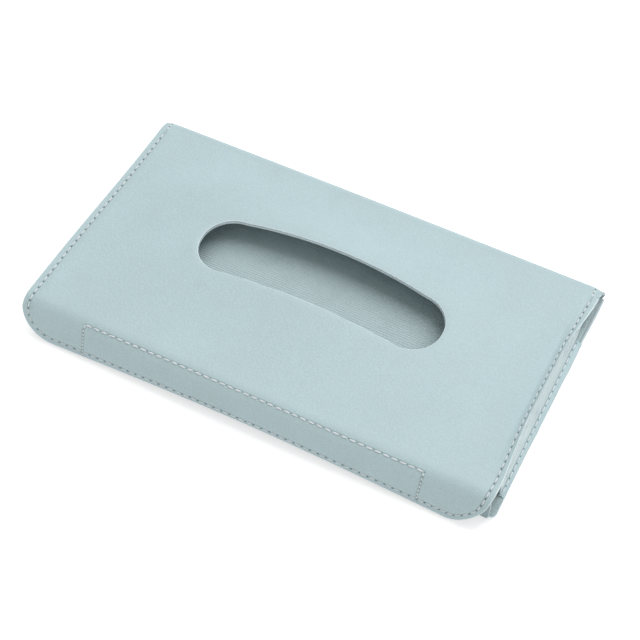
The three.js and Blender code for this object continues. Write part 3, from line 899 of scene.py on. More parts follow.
back_to_fold = [(BACK_LENGTH - 1.2, SKIN_BASE), (BACK_LENGTH - 0.5, SKIN_BASE)]
round_fold = arc(FOLD_AXIS, FOLD_RADIUS, -90, 90, FOLD_STEPS)
fold_to_flap = [(BACK_LENGTH - step, FLAP_START[1] + START_LIFT * (step / FOLD_FLAT) ** 2)
                for step in np.linspace(FOLD_FLAT / FOLD_FLAT_STEPS, FOLD_FLAT, FOLD_FLAT_STEPS)]
fold_path = np.concatenate([back_to_fold, round_fold, fold_to_flap])
end_turn = np.linspace(0, math.pi / 2, FOLD_END_STATIONS)
turned_end = FLAP_HALF - FOLD_END_RADIUS * (1 - np.sin(end_turn))
middle = np.linspace(-turned_end[0], turned_end[0], FOLD_MIDDLE_STATIONS)[1:-1]
fold_leather = bar("fold_leather", thick_path(fold_path, SKIN),
                   np.concatenate([-turned_end[::-1], middle, turned_end]),
                   [plain_leather, cut_edge], cap_slot=1, shape=fold_shape)
bend_between(fold_leather, "front_flap", BACK_LENGTH, *FOLD_SPAN)
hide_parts("fold_spine")
print("fold leather stations:", 2 * len(turned_end) + len(middle))

# %% Fold lining
FOLD_LINING_ENDS = (-115.5, 118.6)
FOLD_LINING_SPAN = (3.7, 4.8)
FOLD_LINING_THICKNESS = 0.4
FOLD_LINING_STEPS = 37
STATIONS = 41
FOLD_LINING_TURNS = [(126.4, 3.58), (127.6, 3.66), (128.35, 3.86), (128.7, 4.25), (128.45, 4.66),
                     (127.6, 4.86), (126.2, 4.95), (124.4, 5.05), (122.4, 5.2), (120.4, 5.32)]

numbers = np.arange(len(FOLD_LINING_TURNS))
fine = np.linspace(0, numbers[-1], FOLD_LINING_STEPS)
lining_curve = np.stack([np.interp(fine, numbers, values) for values in zip(*FOLD_LINING_TURNS)], -1)
fold_lining = bar("fold_lining", thick_path(lining_curve, -FOLD_LINING_THICKNESS),
                  np.linspace(*FOLD_LINING_ENDS, STATIONS), [lining_cloth], sharp=60)
bend_between(fold_lining, "front_flap", BACK_LENGTH, *FOLD_LINING_SPAN)

# %% [markdown]
# ## Back panel
#
# The back is leather too, turned up at its edges round a board, so its side shows a soft
# section and a rim. A bevelled box would be the same all round. Rings at pairs of inset and
# height are used here, because the photo's right edge is a little wider towards the fold.

# %% Outline of the back
PANEL_GAP = 0.1
PANEL_CORNER = 3.0
PANEL_CORNER_LEAST = 0.3
TOP_RIGHT_WIDER = 1.2
UPPER_WIDER = 0.5
UPPER_START, UPPER_FADE = 60.0, 35.0
TOP_START, TOP_FADE = 97.0, 26.0
RIGHT_PART = 100.0
CORNER_STEPS = 8
LONG_SIDE_POINTS = 40
SHORT_SIDE_POINTS = 24


def upper_wider(y):
    """How much wider the back's edge and its strip are in the half near the fold."""
    return UPPER_WIDER * smoothstep((y - UPPER_START) / UPPER_FADE)


def panel_ring(inset):
    """Outline of the back at an inset, with its two bottom corners rounded."""
    half, low, high = HALF_WIDTH - inset, PANEL_GAP + inset, BACK_LENGTH - PANEL_GAP - inset
    radius = max(PANEL_CORNER - inset, PANEL_CORNER_LEAST)
    left = arc((-half + radius, low + radius), radius, 180, 270, CORNER_STEPS)
    right = arc((half - radius, low + radius), radius, 270, 360, CORNER_STEPS)
    ring = np.concatenate([left, np.linspace(left[-1], right[0], LONG_SIDE_POINTS)[1:-1], right,
                           np.linspace(right[-1], (half, high), SHORT_SIDE_POINTS)[1:],
                           np.linspace((half, high), (-half, high), LONG_SIDE_POINTS)[1:],
                           np.linspace((-half, high), left[0], SHORT_SIDE_POINTS)[1:-1]])
    x, y = ring[:, 0], ring[:, 1]
    wider = upper_wider(y) + (TOP_RIGHT_WIDER - UPPER_WIDER) * smoothstep((y - TOP_START) / TOP_FADE)
    return np.column_stack([x + wider * (x > RIGHT_PART) + top_left_round(x, y), y])


print("points in a ring of the back:", len(panel_ring(0.0)))

# %% Back leather
BACK_LEVELS = [(6.0, 1.1), (0.5, 1.12), (0.15, 1.22), (0.0, 1.45), (0.0, 1.9), (0.02, 2.6), (0.08, 2.95),
               (0.4, 3.08), (3.1, 3.1), (3.75, 2.05), (6.0, 2.0)]
SMOOTH_LEVELS = 7


def make_back_leather():
    """Loft of the back's rings. The last levels are the leather's flesh side."""
    rings = [(panel_ring(inset), height) for inset, height in BACK_LEVELS]
    loops = [np.column_stack([ring, np.full(len(ring), height)]) for ring, height in rings]
    points, faces = loft(loops)
    smooth, flesh = 0, 2
    level_slots = [smooth] * SMOOTH_LEVELS + [flesh] * (len(loops) - 1 - SMOOTH_LEVELS)
    slots = np.repeat(level_slots, len(loops[0])).tolist() + [smooth, flesh]
    return make_piece("back_leather", points, faces, [plain_leather, cut_edge, flesh_side], slots)


dress(make_back_leather(), "back", "back_skin")

# %% [markdown]
# The lining of the back shows through the slot, and its ribs catch the light. A bump texture
# would give their shading but not their shape, which is seen at this angle. A fine sheet is
# made first, and a geometry node group then raises ribs on it that wander a little. The same
# group ribs the webbing of the visor bands.

# %% Ribs raised by geometry nodes
RIB_DRIFT_SCALE = 30.0
FACING_UP = 0.7


def make_rib_group():
    """Raise the upper face of a fine sheet into ribs. A sign of -1 raises the lower face."""
    tree, given, result = new_group(
        "Raise ribs", "GeometryNodeTree",
        [("Geometry", "NodeSocketGeometry", None), ("Ribs per Metre", "NodeSocketFloat", 667.0),
         ("Height", "NodeSocketFloat", 0.0002), ("Wander", "NodeSocketFloat", 0.0004),
         ("Along X", "NodeSocketFloat", 0.0), ("Sign", "NodeSocketFloat", 1.0),
         ("Cloth", "NodeSocketMaterial", None)],
        [("Geometry", "NodeSocketGeometry")])
    calc = math_in(tree)
    place = add_node(tree, "GeometryNodeInputPosition").outputs[0]
    split = add_node(tree, "ShaderNodeSeparateXYZ", {"Vector": place}).outputs
    drift = calc("SUBTRACT", noise_in(tree, place, RIB_DRIFT_SCALE, 1.0), 0.5)
    drift = calc("MULTIPLY", drift, given["Wander"])
    pick = add_node(tree, "ShaderNodeMix", {"Factor": given["Along X"], "A": split["Y"], "B": split["X"]},
                    data_type="FLOAT")
    phase = calc("MULTIPLY", calc("ADD", pick.outputs["Result"], drift), given["Ribs per Metre"])
    wave = calc("ABSOLUTE", calc("SINE", calc("MULTIPLY", phase, math.pi)))
    facing = add_node(tree, "GeometryNodeInputNormal").outputs[0]
    facing_z = add_node(tree, "ShaderNodeSeparateXYZ", {"Vector": facing}).outputs["Z"]
    on_top = calc("GREATER_THAN", calc("MULTIPLY", facing_z, given["Sign"]), FACING_UP)
    lift = calc("MULTIPLY", calc("MULTIPLY", wave, given["Height"]), on_top)
    offset = add_node(tree, "ShaderNodeCombineXYZ", {"Z": calc("MULTIPLY", lift, given["Sign"])})
    move = add_node(tree, "GeometryNodeSetPosition", {"Geometry": given["Geometry"],
                                                      "Offset": offset.outputs[0]})
    real = add_node(tree, "GeometryNodeRealizeInstances", {0: move.outputs[0]})
    paint = add_node(tree, "GeometryNodeSetMaterial",
                     {"Geometry": real.outputs[0], "Material": given["Cloth"]})
    set_inputs(tree, result, {0: paint.outputs[0]})
    return tree


def apply_nodes(piece, group, values):
    """Run a geometry node group on a piece and keep the result as its mesh."""
    modifier = piece.modifiers.new(group.name, "NODES")
    modifier.node_group = group
    sockets = {item.name: item.identifier for item in group.interface.items_tree if item.in_out == "INPUT"}
    for label, value in values.items():
        modifier[sockets[label]] = value
    seen = piece.evaluated_get(bpy.context.evaluated_depsgraph_get())
    mesh = bpy.data.meshes.new_from_object(seen)
    piece.modifiers.clear()
    old = piece.data
    piece.data = mesh
    mesh.name = piece.name
    bpy.data.meshes.remove(old)


RIBS = make_rib_group()
print("group:", RIBS.name)

# %% Back lining
RIB_PITCH = 1.25
RIB_STEPS = 7
RIB_HEIGHT = 0.16
RIB_WANDER = 0.6
LINING_COLUMNS = 36
BACK_LINING_LOW = (-119.4, 0.6, LINING_BASE)
BACK_LINING_HIGH = (119.4, 127.2, LINING_BASE + 0.3)


def dense_sheet(name, low, high, steps, material, edge=0.12):
    """Closed flat sheet between two corners, divided finely for ribs."""
    xs = np.linspace(low[0], high[0], steps[0])
    ys = np.linspace(low[1], high[1], steps[1])
    loops = []
    for y in ys:
        shrink = edge if y in (ys[0], ys[-1]) else 0.0
        top = np.column_stack([xs, np.full(len(xs), y), np.full(len(xs), high[2] - shrink)])
        under = np.column_stack([xs[::-1], np.full(len(xs), y), np.full(len(xs), low[2])])
        loops.append(np.concatenate([top, under]))
    points, faces = loft(loops)
    return make_piece(name, points, faces, [material], sharp=60)


rib_rows = int((BACK_LINING_HIGH[1] - BACK_LINING_LOW[1]) / RIB_PITCH * RIB_STEPS)
back_lining = dense_sheet("back_lining_cloth", BACK_LINING_LOW, BACK_LINING_HIGH, (LINING_COLUMNS, rib_rows),
                          lining_cloth)
apply_nodes(back_lining, RIBS, {"Ribs per Metre": 1 / (RIB_PITCH * MM), "Height": RIB_HEIGHT * MM,
                                "Wander": RIB_WANDER * MM, "Cloth": lining_cloth})
dress(back_lining, "back", "back_lining")

# %% [markdown]
# ## Side strips
#
# A strip of leather is sewn over each side edge between two notches, and holds the wing's
# foot. Its section has a lip, a seam groove and a turned edge. A bevelled box has none of
# these, so the section is listed point by point and carried along Y, with a slight ripple from
# the sewing. Both sides come from one function, with a sign for the mirror.

# %% Side strips
SIDES = (("left", -1), ("right", 1))
STRIP_LOW, STRIP_HIGH = 10.5, 99.3
STRIP_TAPER = 0.9
STRIP_TAPER_FADE = 50.0
STRIP_OUTER = 119.0
STRIP_STATIONS = 60
RIPPLES = ((0.06, 0.31), (0.04, 0.83))
STRIP_SECTION = np.array([
    (117.25, 3.84), (117.2, 4.35), (117.4, 4.58), (118.1, 4.6), (118.35, 4.52), (118.6, 4.6),
    (119.7, 4.6), (120.2, 4.45), (120.5, 4.1), (120.55, 3.2), (120.5, 2.2), (120.3, 1.75),
    (120.1, 1.7), (120.06, 2.2), (120.06, 3.5), (119.9, 3.82)])


def make_strip(side, sign):
    x, z = STRIP_SECTION.T
    loops = []
    for y in np.linspace(STRIP_LOW, STRIP_HIGH, STRIP_STATIONS):
        ripple = sum(size * math.sin(y * pace) for size, pace in RIPPLES)
        wider = upper_wider(y) - STRIP_TAPER * smoothstep((UPPER_START - y) / STRIP_TAPER_FADE)
        loops.append(np.stack([sign * (x + ripple + wider * (x > STRIP_OUTER)), np.full(len(x), y), z], -1))
    points, faces = loft(loops)
    slots = [0] * (len(faces) - 2) + [1, 1]
    piece = make_piece(f"{side}_strip_leather", points, faces, [plain_leather, cut_edge], slots)
    dress(piece, "back", f"{side}_side_strip")


for side, sign in SIDES:
    make_strip(side, sign)

# %% [markdown]
# ## Side wings
#
# A wing is a panel of pale woven cloth that closes the side under the flap. It stands on the
# strip, reaches up to the flap's edge and tapers towards the fold, with a hem along its top.
# Cloth physics would need the flap as a collider and many frames. The wing is a grid between
# its foot and the flap's surface instead, with one shallow wave and the hem in its thickness.

# %% Side wings
WING_FOOT = (117.55, 5.0)
WING_LOW, WING_HIGH = 11.0, 103.0
WING_TOP_LOW, WING_TOP_HIGH = 12.6, 115.5
WING_LEAN = math.tan(math.radians(10))
WING_CLEARANCE = 1.85
WING_HEAD_INSET = 1.0
WING_LEAST = 0.25
WING_ROWS, WING_COLUMNS = 90, 26
WING_HEAD_SHIFT = 0.2
WING_WAVE, WING_WAVE_PACE, WING_WAVE_START = 0.16, 0.21, 1.3
WING_THICK_HALF = 0.24
HEM_START, HEM_THICKER = 0.5, 0.14
HEM_SEAM, HEM_SEAM_HALF, HEM_SEAM_DIP = 0.66, 0.025, 0.24


def wing_head(y, sign):
    """Where the wing's upper edge lies, just under the flap's edge."""
    along = (FLAP_START[0] - y) / math.cos(PANEL_SLOPE)
    under = flap_point(sign * (FLAP_HALF - WING_HEAD_INSET), along, WING_CLEARANCE)
    leaning = WING_FOOT[0] - (under[:, 2] - WING_FOOT[1]) * WING_LEAN
    x = under[:, 0] - WING_HEAD_SHIFT if sign > 0 else leaning
    return x, under[:, 2]


def make_wing(side, sign):
    front, rear = [], []
    for up in np.arange(WING_COLUMNS + 1) / WING_COLUMNS:
        y = np.linspace(WING_LOW + (WING_TOP_LOW - WING_LOW) * up,
                        WING_HIGH + (WING_TOP_HIGH - WING_HIGH) * up, WING_ROWS)
        head_x, head_z = wing_head(y, sign)
        wave = WING_WAVE * np.sin(y * WING_WAVE_PACE + WING_WAVE_START * sign) * math.sin(math.pi * up)
        x = WING_FOOT[0] + (head_x - WING_FOOT[0]) * up + wave
        z = WING_FOOT[1] + np.maximum(head_z - WING_FOOT[1], WING_LEAST) * up
        hem = HEM_THICKER * (up > HEM_START) - HEM_SEAM_DIP * (abs(up - HEM_SEAM) < HEM_SEAM_HALF)
        half = WING_THICK_HALF + hem
        front.append(np.stack([sign * (x + half), y, z], -1))
        rear.append(np.stack([sign * (x - half), y, z], -1))
    front, rear = np.array(front), np.array(rear)
    points, faces = loft([np.concatenate([front[:, row], rear[::-1, row]]) for row in range(WING_ROWS)])
    piece = make_piece(f"{side}_wing_cloth", points, faces, [wing_cloth], sharp=50)
    dress(piece, f"{side}_side_wing", f"{side}_wing")


for side, sign in SIDES:
    make_wing(side, sign)

# %% [markdown]
# ## Bottom wall
#
# The wall stands inside the flap's end and carries four magnets. Its ends show the pale cut of
# the leather. It could be a stack of turned boxes. Profiles measured up the wall are used, so
# that all its layers share one angle. The leather of the crease is a bar with a bent profile,
# like the fold.

# %% Wall leather and lining
WALL_START, WALL_LINING_START = 1.5, 1.95
WALL_SOFT = 0.15
WALL_LINING_INSET = 0.2
WALL_LINING_SHORT = 0.1
WALL_LINING_FACES = (-1.5, -1.0)


def on_wall(up, out):
    """The y and z of a place up the wall, and out from its axis."""
    return (WALL_AXIS[0] + up * math.cos(WALL_ANGLE) - out * math.sin(WALL_ANGLE),
            WALL_AXIS[1] + up * math.sin(WALL_ANGLE) + out * math.cos(WALL_ANGLE))


def wall_slab(name, half, low, high, inner, outer, materials, cap_slot):
    soft = min(WALL_SOFT, (outer - inner) / 4)
    profile = [on_wall(low, inner), on_wall(high - soft, inner), on_wall(high, inner + soft),
               on_wall(high, outer - soft), on_wall(high - soft, outer), on_wall(low, outer)]
    return bar(name, profile, np.linspace(-half, half, STATIONS), materials, cap_slot)


# The wall's leather takes the darker tone of painted shade.
wall_leather = wall_slab("wall_leather", WALL_HALF, WALL_START, WALL_TOP, CREASE_RADIUS - SKIN, CREASE_RADIUS,
                         [painted_shade_wall_leather, cut_edge], 1)
dress(wall_leather, "bottom_wall", "wall_skin")
wall_lining_half = WALL_HALF - WALL_LINING_INSET
wall_lining_top = WALL_TOP - WALL_LINING_SHORT
wall_lining = wall_slab("wall_lining_cloth", wall_lining_half, WALL_LINING_START, wall_lining_top,
                        *WALL_LINING_FACES, [lining_cloth], 0)
dress(wall_lining, "bottom_wall", "wall_lining")

# %% Bottom crease
CREASE_HALF = 117.0
CREASE_SPAN = (1.2, 3.2)
CREASE_STEPS = 14

crease_path = np.concatenate([
    [(1.6, SKIN_BASE), (0.8, SKIN_BASE)], arc(WALL_AXIS, CREASE_RADIUS, 270, 176, CREASE_STEPS),
    [on_wall(up, CREASE_RADIUS) for up in (0.5, 1.05, WALL_START)]])
# The crease's leather takes the same darker tone of painted shade.
crease_leather = bar("crease_leather", thick_path(crease_path, -SKIN),
                     np.linspace(-CREASE_HALF, CREASE_HALF, STATIONS),
                     [painted_shade_wall_leather, cut_edge], cap_slot=1)
bend_between(crease_leather, "bottom_wall", 0, *CREASE_SPAN)
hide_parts("bottom_crease")
print("crease profile points:", 2 * len(crease_path))

# %% [markdown]
# ## Visor bands
#
# Two bands of elastic webbing are sewn across the back, and go round a sun visor. A flat strip
# with a bump texture could stand for them, but their ribs show in outline at the ends. The ribs
# run lengthwise and lie underneath, so the rib group is used again with its sign turned.

# %% Visor bands
BAND_HALF = 12.5
BAND_CENTRE = 60.0
BAND_LOW, BAND_HIGH = 9.0, 118.8
BAND_UNDER, BAND_TOP = 0.26, 1.0
BAND_RIBS = 560.0
BAND_RIB_HEIGHT = 0.26


def make_band(side, sign):
    centre = BAND_CENTRE * sign
    low, high = (centre - BAND_HALF, BAND_LOW, BAND_UNDER), (centre + BAND_HALF, BAND_HIGH, BAND_TOP)
    piece = dense_sheet(f"{side}_band_webbing", low, high, (161, 30), webbing, edge=0.0)
    apply_nodes(piece, RIBS, {"Ribs per Metre": BAND_RIBS, "Height": BAND_RIB_HEIGHT * MM, "Wander": 0.0,
                              "Along X": 1.0, "Sign": -1.0, "Cloth": webbing})
    dress(piece, "back", f"{side}_visor_band")


for side, sign in SIDES:
    make_band(side, sign)

# %% [markdown]
# ## Stitches
#
# Each seam is a lock stitch: short pale threads on top, with a needle hole between two of
# them, shown as a flat disc of painted shade. A row could be an array along a curve. A geometry
# node group is used instead, because it also turns each stitch square to the bent leather, and
# swings it a little at random.

# %% Stitch node group
BALL = {"Segments": 14, "Radius": 0.5}
HOLE_FLATNESS = 0.28


def make_stitch_group():
    """One stitch and its needle hole on each point, turned along the row. The hole is painted shade."""
    tree, given, result = new_group(
        "Stitch row", "GeometryNodeTree",
        [("Geometry", "NodeSocketGeometry", None), ("Length", "NodeSocketFloat", 0.0034),
         ("Width", "NodeSocketFloat", 0.00085), ("Height", "NodeSocketFloat", 0.0006),
         ("Pitch", "NodeSocketFloat", 0.0041), ("Hole", "NodeSocketFloat", 0.0006),
         ("Jitter", "NodeSocketFloat", 0.08), ("Seed", "NodeSocketInt", 3),
         ("Thread", "NodeSocketMaterial", None), ("Hole Shade Material", "NodeSocketMaterial", None)],
        [("Geometry", "NodeSocketGeometry")])
    calc = math_in(tree)

    def bead(size, material, shift, rings):
        """Ball stretched to a size, moved along the row and painted."""
        ball = add_node(tree, "GeometryNodeMeshUVSphere", {"Rings": rings, **BALL})
        scale = add_node(tree, "ShaderNodeCombineXYZ", dict(enumerate(size)))
        move = add_node(tree, "ShaderNodeCombineXYZ", {"X": shift})
        shape = add_node(tree, "GeometryNodeTransform", {
            "Geometry": ball.outputs["Mesh"], "Scale": scale.outputs[0], "Translation": move.outputs[0]})
        smooth = add_node(tree, "GeometryNodeSetShadeSmooth", {"Geometry": shape.outputs[0]})
        paint = add_node(tree, "GeometryNodeSetMaterial",
                         {"Geometry": smooth.outputs[0], "Material": material})
        return paint.outputs[0]

    def named(label):
        return add_node(tree, "GeometryNodeInputNamedAttribute", {"Name": label},
                        data_type="FLOAT_VECTOR").outputs["Attribute"]

    stitch = bead((given["Length"], given["Width"], given["Height"]), given["Thread"], 0.0, rings=10)
    # The needle hole is a flat dark disc: painted shade where the thread goes into the leather.
    flat = calc("MULTIPLY", given["Hole"], HOLE_FLATNESS)
    hole = bead((given["Hole"], given["Hole"], flat), given["Hole Shade Material"],
                calc("MULTIPLY", given["Pitch"], 0.5), rings=6)
    join = add_node(tree, "GeometryNodeJoinGeometry")
    for part in (stitch, hole):
        tree.links.new(part, join.inputs[0])
    along = add_node(tree, "FunctionNodeAlignRotationToVector", {"Vector": named("heading")}, axis="X")
    square = add_node(tree, "FunctionNodeAlignRotationToVector",
                      {"Rotation": along.outputs[0], "Vector": named("out")}, axis="Z", pivot_axis="X")
    # Inputs 2 and 3 are the least and the most of a random float, and output 1 is its value.
    swing = add_node(tree, "FunctionNodeRandomValue",
                     {2: calc("MULTIPLY", given["Jitter"], -1.0), 3: given["Jitter"], "Seed": given["Seed"]},
                     data_type="FLOAT")
    euler = add_node(tree, "ShaderNodeCombineXYZ", {"Z": swing.outputs[1]})
    turn = add_node(tree, "FunctionNodeEulerToRotation", {0: euler.outputs[0]})
    rotate = add_node(tree, "FunctionNodeRotateRotation", {0: square.outputs[0], 1: turn.outputs[0]},
                      rotation_space="LOCAL")
    place = add_node(tree, "GeometryNodeInstanceOnPoints", {
        "Points": given["Geometry"], "Instance": join.outputs[0], "Rotation": rotate.outputs[0]})
    real = add_node(tree, "GeometryNodeRealizeInstances", {0: place.outputs[0]})
    set_inputs(tree, result, {0: real.outputs[0]})
    return tree


STITCHES = make_stitch_group()
print("group:", STITCHES.name)

# %% A row of stitches as a piece
HEADING_STEP = 0.4


def spaced(path, pitch):
    """Spots at an even pitch along a plan path, with the heading at each."""
    path = np.asarray(path, float)
    steps = np.linalg.norm(np.diff(path, axis=0), axis=1)
    distance = np.concatenate([[0], np.cumsum(steps)])
    count = max(int(round(distance[-1] / pitch)), 1)
    spots = (np.arange(count) + 0.5) * distance[-1] / count

    def at(places):
        return np.stack([np.interp(places, distance, path[:, i]) for i in (0, 1)], -1)

    return at(spots), at(spots + HEADING_STEP) - at(spots - HEADING_STEP)


print("stitches on a row of 100 mm:", len(spaced([(0, 0), (100, 0)], STITCH_PITCH)[0]))


def join_rows(rows):
    return [np.concatenate(parts) for parts in zip(*rows)]


def stitch_piece(name, body, row, node=None, **values):
    """Stitches on a row of centres, headings and outward directions, as one mesh."""
    centres, headings, outs = row
    mesh = bpy.data.meshes.new(name)
    mesh.from_pydata(to_row(centres).tolist(), [], [])
    for label, vectors in (("heading", headings), ("out", outs)):
        layer = mesh.attributes.new(label, "FLOAT_VECTOR", "POINT")
        layer.data.foreach_set("vector", np.asarray(vectors, float).ravel())
    piece = bpy.data.objects.new(name, mesh)
    bpy.context.scene.collection.objects.link(piece)
    sizes = {key: value * MM if key not in ("Seed", "Jitter") else value for key, value in values.items()}
    apply_nodes(piece, STITCHES, {"Thread": thread, "Hole Shade Material": hole_painted_shade, **sizes})
    if body:
        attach(piece, body)
    if node:
        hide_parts(node)
    print(name, "stitches:", len(centres))
    return piece


# %% Edge rows of the flap
SURFACE_STEP = 0.3
STITCH_LIFT = 0.1
FOLD_MARGIN = 1.5
EDGE_LOOK = {"Length": 3.0, "Width": 0.78, "Hole": 0.78}


def on_flap(path, pitch=STITCH_PITCH, inside=False):
    """Centres, headings and outward directions of a plan path on one face of the flap."""
    spots, headings = spaced(path, pitch)
    if inside:
        depth = lining_depth(spots, FAR_FROM_RIM) + LINING + STITCH_LIFT
    else:
        depth = skin_depth(spots, FAR_FROM_RIM) - STITCH_LIFT

    def surface(places):
        return flap_point(places[:, 0], places[:, 1], depth)

    unit = SURFACE_STEP * headings / np.linalg.norm(headings, axis=1)[:, None]
    side = np.stack([-unit[:, 1], unit[:, 0]], -1)
    along = surface(spots + unit) - surface(spots - unit)
    out = np.cross(along, surface(spots + side) - surface(spots - side))
    out *= np.sign(out[:, 2:3] - out[:, 1:2]) * (-1 if inside else 1)
    return surface(spots), along, out


ring = edge_ring(SEAM_INSET)
edge_path = np.concatenate([ring[FOLD_SAMPLES:], ring[:1]])
edge_path = edge_path[edge_path[:, 1] > FOLD_MARGIN]
stitch_piece("flap_edge_stitches", "front_flap", on_flap(edge_path), "flap_thread", Pitch=STITCH_PITCH,
             **EDGE_LOOK)
stitch_piece("inner_edge_stitches", "front_flap", on_flap(edge_path, inside=True), Pitch=STITCH_PITCH,
             Seed=29, **EDGE_LOOK)

# %% [markdown]
# The edge row goes on round the fold for two stitches at each end, where they lie on the
# leather of the fold.

# %% End stitches of the fold
FOLD_SPOTS = (0.2, 2.5)

fold_row = fold_path[::-1]
fold_steps = np.concatenate([[0], np.cumsum(np.linalg.norm(np.diff(fold_row, axis=0), axis=1))])


def on_fold(distance):
    """The y and z of a place on the fold's outer face, at a distance from the flap's side."""
    return np.array([np.interp(distance, fold_steps, fold_row[:, i]) for i in (0, 1)])


end_rows = []
for side, sign in SIDES:
    for distance in FOLD_SPOTS:
        step = on_fold(distance + SURFACE_STEP) - on_fold(distance - SURFACE_STEP)
        centre = fold_shape(sign * (FLAP_HALF - SEAM_INSET), *on_fold(distance))
        end_rows.append(([centre], [(0, *step)], [(0, -step[1], step[0])]))
fold_stitches = stitch_piece("fold_edge_stitches", None, join_rows(end_rows), Seed=5,
                             **dict(EDGE_LOOK, Length=1.7, Pitch=2.8))
bend_between(fold_stitches, "front_flap", BACK_LENGTH, *FOLD_SPAN)

# %% [markdown]
# The long pocket that holds the magnets is sewn through the flap, with a row along its top and
# a closer row at each end. The rows show on both faces. In the photo the left end's row runs
# on past the edge row.

# %% Magnet pocket rows
END_PITCH = 0.55 * STITCH_PITCH
LEFT_ROW_END = 0.8
TOP_POINTS, END_POINTS = 80, 30
TOP_LOOK = {"Length": 3.3, "Width": 0.85, "Pitch": STITCH_PITCH, "Hole": 0.35}
END_LOOK = {"Length": 1.7, "Width": 0.7, "Pitch": END_PITCH, "Hole": 0.45}


def pocket_rows(left_margin, inside=False):
    """Top row and end rows of the magnet pocket on one face of the flap."""
    top = np.linspace((-POCKET_HALF, POCKET_TOP), (POCKET_HALF, POCKET_TOP), TOP_POINTS)
    ends = []
    for sign, margin in ((-1, left_margin), (1, SEAM_INSET)):
        end = np.linspace((sign * POCKET_HALF, POCKET_TOP), (sign * POCKET_HALF, FLAP_LENGTH - margin),
                          END_POINTS)
        ends.append(on_flap(end, END_PITCH, inside))
    return on_flap(top, inside=inside), join_rows(ends)


outer_top, outer_ends = pocket_rows(LEFT_ROW_END)
inner_top, inner_ends = pocket_rows(SEAM_INSET, inside=True)
stitch_piece("pocket_top_stitches", "front_flap", outer_top, "pocket_thread", Seed=11, **TOP_LOOK)
stitch_piece("inner_pocket_ends", "front_flap", inner_ends, Seed=37, **END_LOOK)
stitch_piece("inner_pocket_stitches", "front_flap", inner_top, Seed=31, **TOP_LOOK)
stitch_piece("pocket_end_stitches", "front_flap", outer_ends, Seed=17, **END_LOOK)

# %% Straight rows on the strips, the wall and the bands
STRIP_ROW_X = 118.5
STRIP_ROW_INSET = 1.2
WALL_ROW_INSET = 1.6
WALL_ROW_LIFT = 0.05
TACK_HALF = 11.0
TACK_UNDER = 0.12
TACK_PITCH = 3.0
TACK_INSETS = (2.0, 5.0)


def straight_row(start, end, out, pitch=STITCH_PITCH):
    start, end = np.asarray(start, float), np.asarray(end, float)
    count = int(np.linalg.norm(end - start) / pitch)
    shares = (np.arange(count) + 0.5)[:, None] / count
    return start + (end - start) * shares, np.tile(end - start, (count, 1)), np.tile(out, (count, 1))


for side, sign in SIDES:
    x = sign * STRIP_ROW_X
    row = straight_row((x, STRIP_LOW + STRIP_ROW_INSET, STRIP_TOP),
                       (x, STRIP_HIGH - STRIP_ROW_INSET, STRIP_TOP), (0, 0, 1))
    stitch_piece(f"{side}_strip_stitches", "back", row, f"{side}_strip_thread", Seed=23 + sign, Length=3.3,
                 Width=0.7)
wall_row = on_wall(WALL_TOP - WALL_ROW_INSET, CREASE_RADIUS + WALL_ROW_LIFT)
wall_row_half = WALL_HALF - WALL_ROW_INSET
row = straight_row((-wall_row_half, *wall_row), (wall_row_half, *wall_row),
                   (0, -math.sin(WALL_ANGLE), math.cos(WALL_ANGLE)))
stitch_piece("wall_stitches", "bottom_wall", row, "wall_thread", Seed=31, Length=3.2, Width=0.7, Height=0.4)
tack_rows = [BAND_LOW + inset for inset in TACK_INSETS] + [BAND_HIGH - inset for inset in TACK_INSETS[::-1]]
tacks = [straight_row((centre - TACK_HALF, y, TACK_UNDER), (centre + TACK_HALF, y, TACK_UNDER), (0, 0, -1),
                      TACK_PITCH)
         for centre in (-BAND_CENTRE, BAND_CENTRE) for y in tack_rows]
stitch_piece("band_tack_stitches", "back", join_rows(tacks), Seed=41, Length=2.6, Width=0.6, Height=0.2,
             Hole=0.5)

# %% [markdown]
# ## Hidden pieces
#
# Boards and magnets lie between the leather and the lining. The flap's board, of which the slot
# could show an edge, was made above. The others could be lofted anew as well, but nothing of
# them shows, so the CAD model's own meshes stay and only get their materials.

# %% Boards and magnets
hidden = {f"{place}_magnet_{number}": magnet_metal for place in ("wall", "flap") for number in range(1, 5)}
hidden.update({node: stiff_board for node in ("back_board", "wall_board", "magnet_board")})
for node, material in hidden.items():
    mesh = bpy.data.objects[node].data
    mesh.materials.clear()
    mesh.materials.append(material)
print("hidden pieces with a material:", len(hidden))

# %% [markdown]
# ## Floor and light
#
# The photo has a white ground and soft light from behind. More light would whiten the floor,
# but it would also bleach the leather. So the floor and the world are bright only for rays
# that should see the background: from the eye, mirrored, or let through. The object is lit at
# a plain level, and the floor keeps its shadow.

# %% Floor
FLOOR_REACH = 1.3
FLOOR_DROP = 0.0002
FLOOR_GLOW = 0.58


def background_rays(tree):
    """One for rays that should meet the white background, and zero for all others."""
    rays = tree.nodes.new("ShaderNodeLightPath").outputs
    calc = math_in(tree)
    mirrored = calc("MAXIMUM", rays["Is Camera Ray"], rays["Is Glossy Ray"])
    return calc("MAXIMUM", mirrored, rays["Is Transmission Ray"])


floor_mesh = bpy.data.meshes.new("floor")
floor_corners = [(x * FLOOR_REACH, y * FLOOR_REACH, 0) for x, y in ((-1, -1), (1, -1), (1, 1), (-1, 1))]
floor_mesh.from_pydata(floor_corners, [], [(0, 1, 2, 3)])
floor = bpy.data.objects.new("floor", floor_mesh)
bpy.context.scene.collection.objects.link(floor)
floor.location.z = -FLOOR_DROP
floor_material, floor_tree, floor_shader = new_material(
    "pale_floor", Roughness=1.0, Specular_IOR_Level=0.0, Base_Color=(0.8, 0.8, 0.8, 1), Emission_Color=WHITE)
floor_glow = math_in(floor_tree)("MULTIPLY", background_rays(floor_tree), FLOOR_GLOW)
floor_tree.links.new(floor_glow, floor_shader.inputs["Emission Strength"])
floor_mesh.materials.append(floor_material)
print("floor, m:", 2 * FLOOR_REACH)

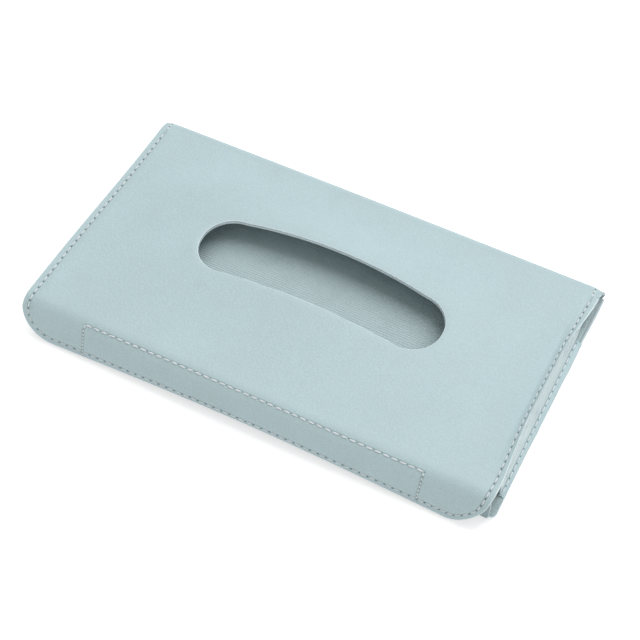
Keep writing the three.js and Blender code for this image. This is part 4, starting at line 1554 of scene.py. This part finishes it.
# %% World and lamps
WORLD_LIGHT = 0.375
BACKGROUND_WHITE = 1.0

world = bpy.data.worlds.new("studio")
world.use_nodes = True
bpy.context.scene.world = world
sky = world.node_tree
strength = add_node(sky, "ShaderNodeMix", {"Factor": background_rays(sky), "A": WORLD_LIGHT,
                                           "B": BACKGROUND_WHITE}, data_type="FLOAT")
set_inputs(sky, sky.nodes["Background"], {"Color": WHITE, "Strength": strength.outputs["Result"]})


def add_lamp(name, location, size, power, aim=(0, 0, 0)):
    """Round area lamp at a place in metres, turned to what it aims at."""
    lamp = bpy.data.lights.new(name, "AREA")
    lamp.shape = "DISK"
    lamp.size = size
    lamp.energy = power
    holder = bpy.data.objects.new(name, lamp)
    holder.location = location
    holder.rotation_euler = (Vector(location) - Vector(aim)).to_track_quat("Z", "Y").to_euler()
    bpy.context.scene.collection.objects.link(holder)
    print("lamp:", name)


add_lamp("overhead_lamp", (0.3, 1.85, 2.9), 3.6, 91)
add_lamp("low_right_lamp", (1.4, -0.5, 0.14), 0.5, 4.4, aim=(0.11, 0, 0.01))
add_lamp("low_front_lamp", (-0.5, -1.4, 0.1), 0.5, 4.8, aim=(0, -0.06, 0.01))

# %% [markdown]
# ## Camera
#
# The camera could be placed by eye. Here its place, aim, roll and focal length come from a fit
# to the photo's edges, corners, slot and seams, so that render and photo can be laid over each
# other. Lengths are metres.

# %% Camera at the photo's view
EYE = Vector((0.2021165, -0.3617015, 0.6554420))
AIM = Vector((0.0069796, -0.0065746, 0.0100000))
ROLL = math.radians(2.366)
FOCAL_PIXELS = 1625.97
PHOTO_PIXELS = 640
SENSOR_WIDTH = 36.0
CLIP_START = 0.01

forward = (AIM - EYE).normalized()
level_right = forward.cross(Vector((0, 0, 1))).normalized()
level_up = level_right.cross(forward)
up = level_up * math.cos(ROLL) + level_right * math.sin(ROLL)
right = forward.cross(up)
camera_data = bpy.data.cameras.new("photo_camera")
camera_data.sensor_width = SENSOR_WIDTH
camera_data.lens = SENSOR_WIDTH * FOCAL_PIXELS / PHOTO_PIXELS
camera_data.clip_start = CLIP_START
camera = bpy.data.objects.new("photo_camera", camera_data)
camera.matrix_world = Matrix.Translation(EYE) @ Matrix((right, up, -forward)).transposed().to_4x4()
bpy.context.scene.collection.objects.link(camera)
bpy.context.scene.camera = camera
bpy.context.scene.view_settings.view_transform = "Standard"
print("camera lens, mm:", round(camera_data.lens, 2))
